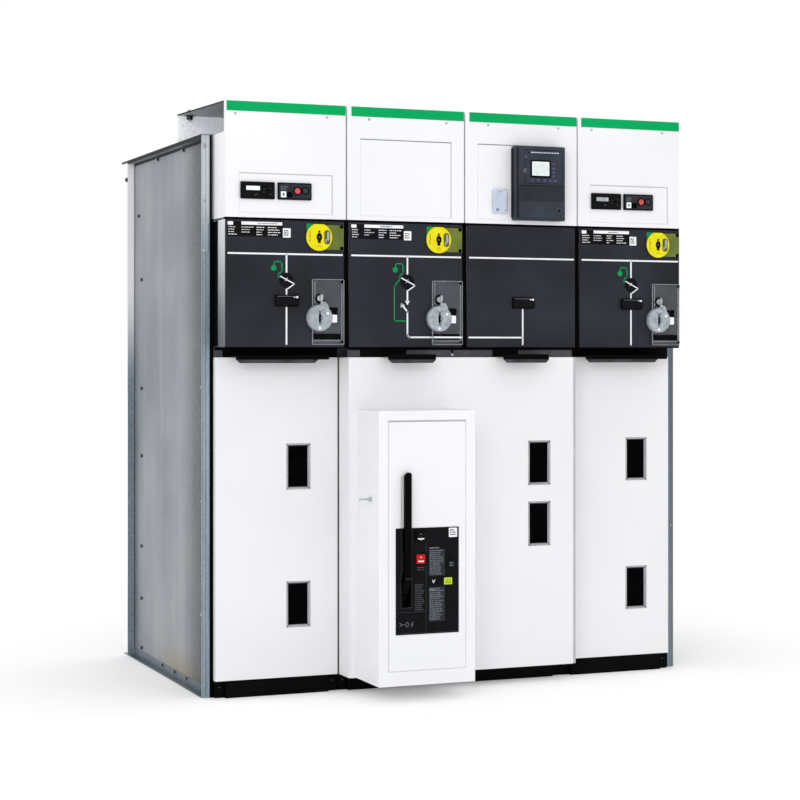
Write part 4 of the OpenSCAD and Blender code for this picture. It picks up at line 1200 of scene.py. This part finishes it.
@shows(PRINT_AND_GLINTS, "close_push")
def close_mark(bm):
    x, z = BUTTON_X, CLOSE_Z
    line(bm, ((-7.5, -6), (7.5, -6)), 3.2, BUTTON_Y, (x, z))
    plate(bm, ((x - 3.5, z - 7), (x + 3.5, z - 7), (x, z - 10.5)), BUTTON_Y, 0.3)
    stroke(bm, (x, z + 6), (x, z + 7), 1.0, BUTTON_Y, 0.25)


@shows(PRINT_AND_GLINTS, "open_push")
def open_mark(bm):
    dot(bm, 1.8, 0.3, (BUTTON_X, BUTTON_Y, OPEN_Z + 5), steps=16)
    line(bm, ((-6.5, -6), (6.5, -6)), 3.4, BUTTON_Y, (BUTTON_X, OPEN_Z))


flag_low, flag_high = box_mm("breaker_indicators")
FLAG_X = (flag_low.x + flag_high.x) / 2
FLAG_Z = (flag_low.z + flag_high.z) / 2
POSITION_X = -163.5


@shows(LEVER)
def flag_marks(bm):
    at = (FLAG_X, FLAG_Z)
    line(bm, ((-6, -5), (-6, 5), (6, 5), (6, -5), (-6, -5)), 1.2, flag_low.y, at)
    line(bm, ((-3, 1), (0, -2), (3, 1)), 1.2, flag_low.y, at)


@shows(PRINT_AND_GLINTS)
def position_mark(bm):
    line(bm, ((-3.5, 4), (0, -4), (3.5, 4)), 1.6, FASCIA_Y + 2, (POSITION_X, FLAG_Z))


@shows(FAINT_PRINT, "lever")
def lever_step(bm):
    tile(bm, -251.6, -233.4, 331.5, 333, box_mm("charging_lever")[0].y, 0.5)


# Frame: bolts of the side walls, posts, roof and rear

REAR_BOLT_Y = 310
FRONT_BOLT_Y = -356
WEB_X = 704
FOOT_X = 706
POST_X = 713
POST_REAR = 405


def bolt_places():
    """Place, direction and size of each bolt of the side walls, rear lips and wiring roof."""
    for side in SIDES:
        out = Vector((side, 0, 0))
        yield (side * WEB_X, REAR_BOLT_Y + 35, 1347), out, 7
        for z in (1152, 822, 618, 344, 186, 36):
            yield (side * WEB_X, REAR_BOLT_Y, z), out, 7
        for z in (836, 526, 218):
            yield (side * WEB_X, FRONT_BOLT_Y, z), out, 10
        for y in (62, -70, -196):
            yield (side * FOOT_X, y, 20), out, 6
        for y in (119, -159):
            yield (side * WEB_X, y, 1500), out, 8
        for z in (1461, 60):
            yield (side * POST_X, POST_REAR, z), -FRONT, 10
        yield (side * 690, -168, 1600), UP, 15
        yield (side * 690, -168, 1597), -UP, 17


# Dark heads and washers of the frame bolts: painted shade
@shows(OXIDE_AND_SHADE)
def frame_bolts_painted_shade(bm):
    for at, out, across in bolt_places():
        washer(bm, at, out, across)
        bolt(bm, at, out, across)
    for side in SIDES:
        lathe(bm, [(0, 30), (6, 30), (7, 29), (7, 21), (3.5, 21), (3.5, 0)],
              (side * 719, POST_REAR, 1464), -FRONT, 12)


# Bright zinc thread ends on the dark bolt heads, which also stand as painted glints
@shows(BOLT)
def thread_end_glints(bm):
    for at, out, across in bolt_places():
        thread_end(bm, at, out, across)


@shows(BOLT, each=SIDES)
def post_screws(bm, side):
    for z, radius in ((1488, 6), (1341, 4), (1206, 5), (951, 3), (420, 3)):
        screw(bm, (side * 717, POST_FRONT - 1, z), FRONT, radius)


@shows(POST, each=SIDES)
def post_faces(bm, side):
    for x0, x1, proud in ((721.5, 725, 1.0), (713.5, 720.5, 0.5), (701.2, 712.5, 1.5)):
        low, high = sorted((side * x0, side * x1))
        tile(bm, low, high, 0.5, 1517.5, POST_FRONT, proud, 0, 0.4)
    low, high = sorted((side * 706, side * 714))
    tile(bm, low, high, 1200, 1284, POST_FRONT - 1.5, 3, 2, 0.8)


def side_slab(bm, side, x, y, z):
    """Slab on one side of the row, between two distances from its middle, two depths and two heights."""
    low, high = sorted((side * x[0], side * x[1]))
    slab(bm, (low, y[0], z[0]), (high, y[1], z[1]))


@shows(REAR_LIP, each=SIDES)
def rear_lip_faces(bm, side):
    side_slab(bm, side, (704.3, 724.8), (401.4, 402.2), (28, 1510.5))


@shows(FOOT, each=SIDES)
def foot_faces(bm, side):
    side_slab(bm, side, (705.8, 706.4), (-401, 401), (3.4, 26.6))
    side_slab(bm, side, (706, 724.5), (-404, 404), (2.8, 3.3))


@shows(EDGE)
def roof_edge_shade(bm):
    """Dark strips at the edges of the roof plates and of the wiring roof at both sides, and on the walls
    under the top lips and beside the rear lips: painted shade.
    """
    roof_low, roof_high = box_mm("wiring_roof")
    for side, edge in ((-1, COVERS[0][0].x), (1, COVERS[3][1].x)):
        side_slab(bm, side, (722, 725.4), (-404, 404), (1510.6, 1514.2))
        side_slab(bm, side, (722, 725.4), (-404, 476), (1515.2, 1520.2))
        side_slab(bm, side, (703.9, 704.5), (-401, 401), (1503, 1510.8))
        side_slab(bm, side, (703.9, 704.5), (395, 401.4), (28, 1503))
        run = Vector((side * roof_high.x - edge, roof_high.y - roof_low.y, 0))
        part = block((-run.length / 2, -0.6, roof_low.z - 0.6), (run.length / 2, 0.6, roof_high.z + 0.3))
        turn = Matrix.Rotation(math.atan2(run.y, run.x), 4, "Z")
        move = Matrix.Translation(Vector((edge + run.x / 2, (roof_low.y + roof_high.y) / 2, 0)) * MM)
        bmesh.ops.transform(part, matrix=move @ turn, verts=part.verts)
        put(bm, part)


@shows(BOLT)
def pin_seat(bm):
    low, high = box_mm("locking_pin")
    lathe(bm, [(3.2, 0), (3.2, 4), (6, 4), (6.8, 3), (6.8, 0)],
          (high.x - 2, (low.y + high.y) / 2, (low.z + high.z) / 2), (-1, 0, 0), 20)


@shows(BOLT)
def rear_screws(bm):
    low, high = box_mm("rear_panels")
    for x0, x1 in ((low.x, -353), (-347, 347), (353, high.x)):
        for z in (60, 400, 740, 1080, 1420):
            for x in (x0 + SCREW_INSET, x1 - SCREW_INSET):
                screw(bm, (x, high.y, z), -FRONT, 6)
        for z in (24, 1500):
            screw(bm, ((x0 + x1) / 2, high.y, z), -FRONT, 6)
    low, high = box_mm("wiring_rear")
    for x in (-700, -540, -364, -336, -110, 110, 336, 364, 540, 700):
        screw(bm, (x, high.y, (low.z + high.z) / 2), -FRONT, 5)


bpy.data.meshes.remove(scratch)


# Stage: pale floor, soft light, camera at the photograph's viewing angle

FLOOR_RADIUS = 40.0
ROW_MIDDLE = Vector((0, 0, 0.8))


def floor():
    bm = bmesh.new()
    bmesh.ops.create_circle(bm, cap_ends=True, segments=96, radius=FLOOR_RADIUS)
    mesh = bpy.data.meshes.new("studio_floor")
    bm.to_mesh(mesh)
    bm.free()
    # Pale painted studio floor, nearly white
    mesh.materials.append(moulded("pale_studio_floor", "#fbfbfb", "#fdfdfd", 900, (0.75, 0.85), 8, 0.02,
                                  {"Specular IOR Level": 0.1, "Emission Color": linear("#ffffff"),
                                   "Emission Strength": 0.1}))
    obj = scene_object("studio_floor", mesh)


def soft_light(name, at, size, watts):
    """Large soft box aimed at the middle of the row."""
    data = bpy.data.lights.new(name, "AREA")
    data.shape = "RECTANGLE"
    data.size, data.size_y = size
    data.energy = watts
    obj = scene_object(name, data)
    obj.location = at
    obj.rotation_mode = "QUATERNION"
    obj.rotation_quaternion = (ROW_MIDDLE - Vector(at)).to_track_quat("-Z", "Y")


def studio():
    world = bpy.data.worlds.new("studio_world")
    world.use_nodes = True
    background = world.node_tree.nodes["Background"]
    background.inputs["Color"].default_value = linear("#ffffff")
    background.inputs["Strength"].default_value = 1.0
    bpy.context.scene.world = world
    soft_light("key_soft_box", (-3.4, -5.0, 2.8), (1.3, 1.3), 36)
    bpy.context.scene.view_settings.view_transform = "Standard"


CAMERA_AT = Vector((-2218, -5543, 932))
CAMERA_YAW = 21.94
FOCAL_PIXELS = 1976.4
HORIZON_ROW = 352.2
IMAGE = 800
SENSOR = 36.0


def camera():
    data = bpy.data.cameras.new("photo_camera")
    data.sensor_width = SENSOR
    data.lens = FOCAL_PIXELS / IMAGE * SENSOR
    data.shift_y = (HORIZON_ROW - IMAGE / 2) / IMAGE
    obj = scene_object("photo_camera", data)
    obj.location = CAMERA_AT * MM
    obj.rotation_euler = (math.pi / 2, 0, -math.radians(CAMERA_YAW))
    bpy.context.scene.camera = obj


floor()
studio()
camera()
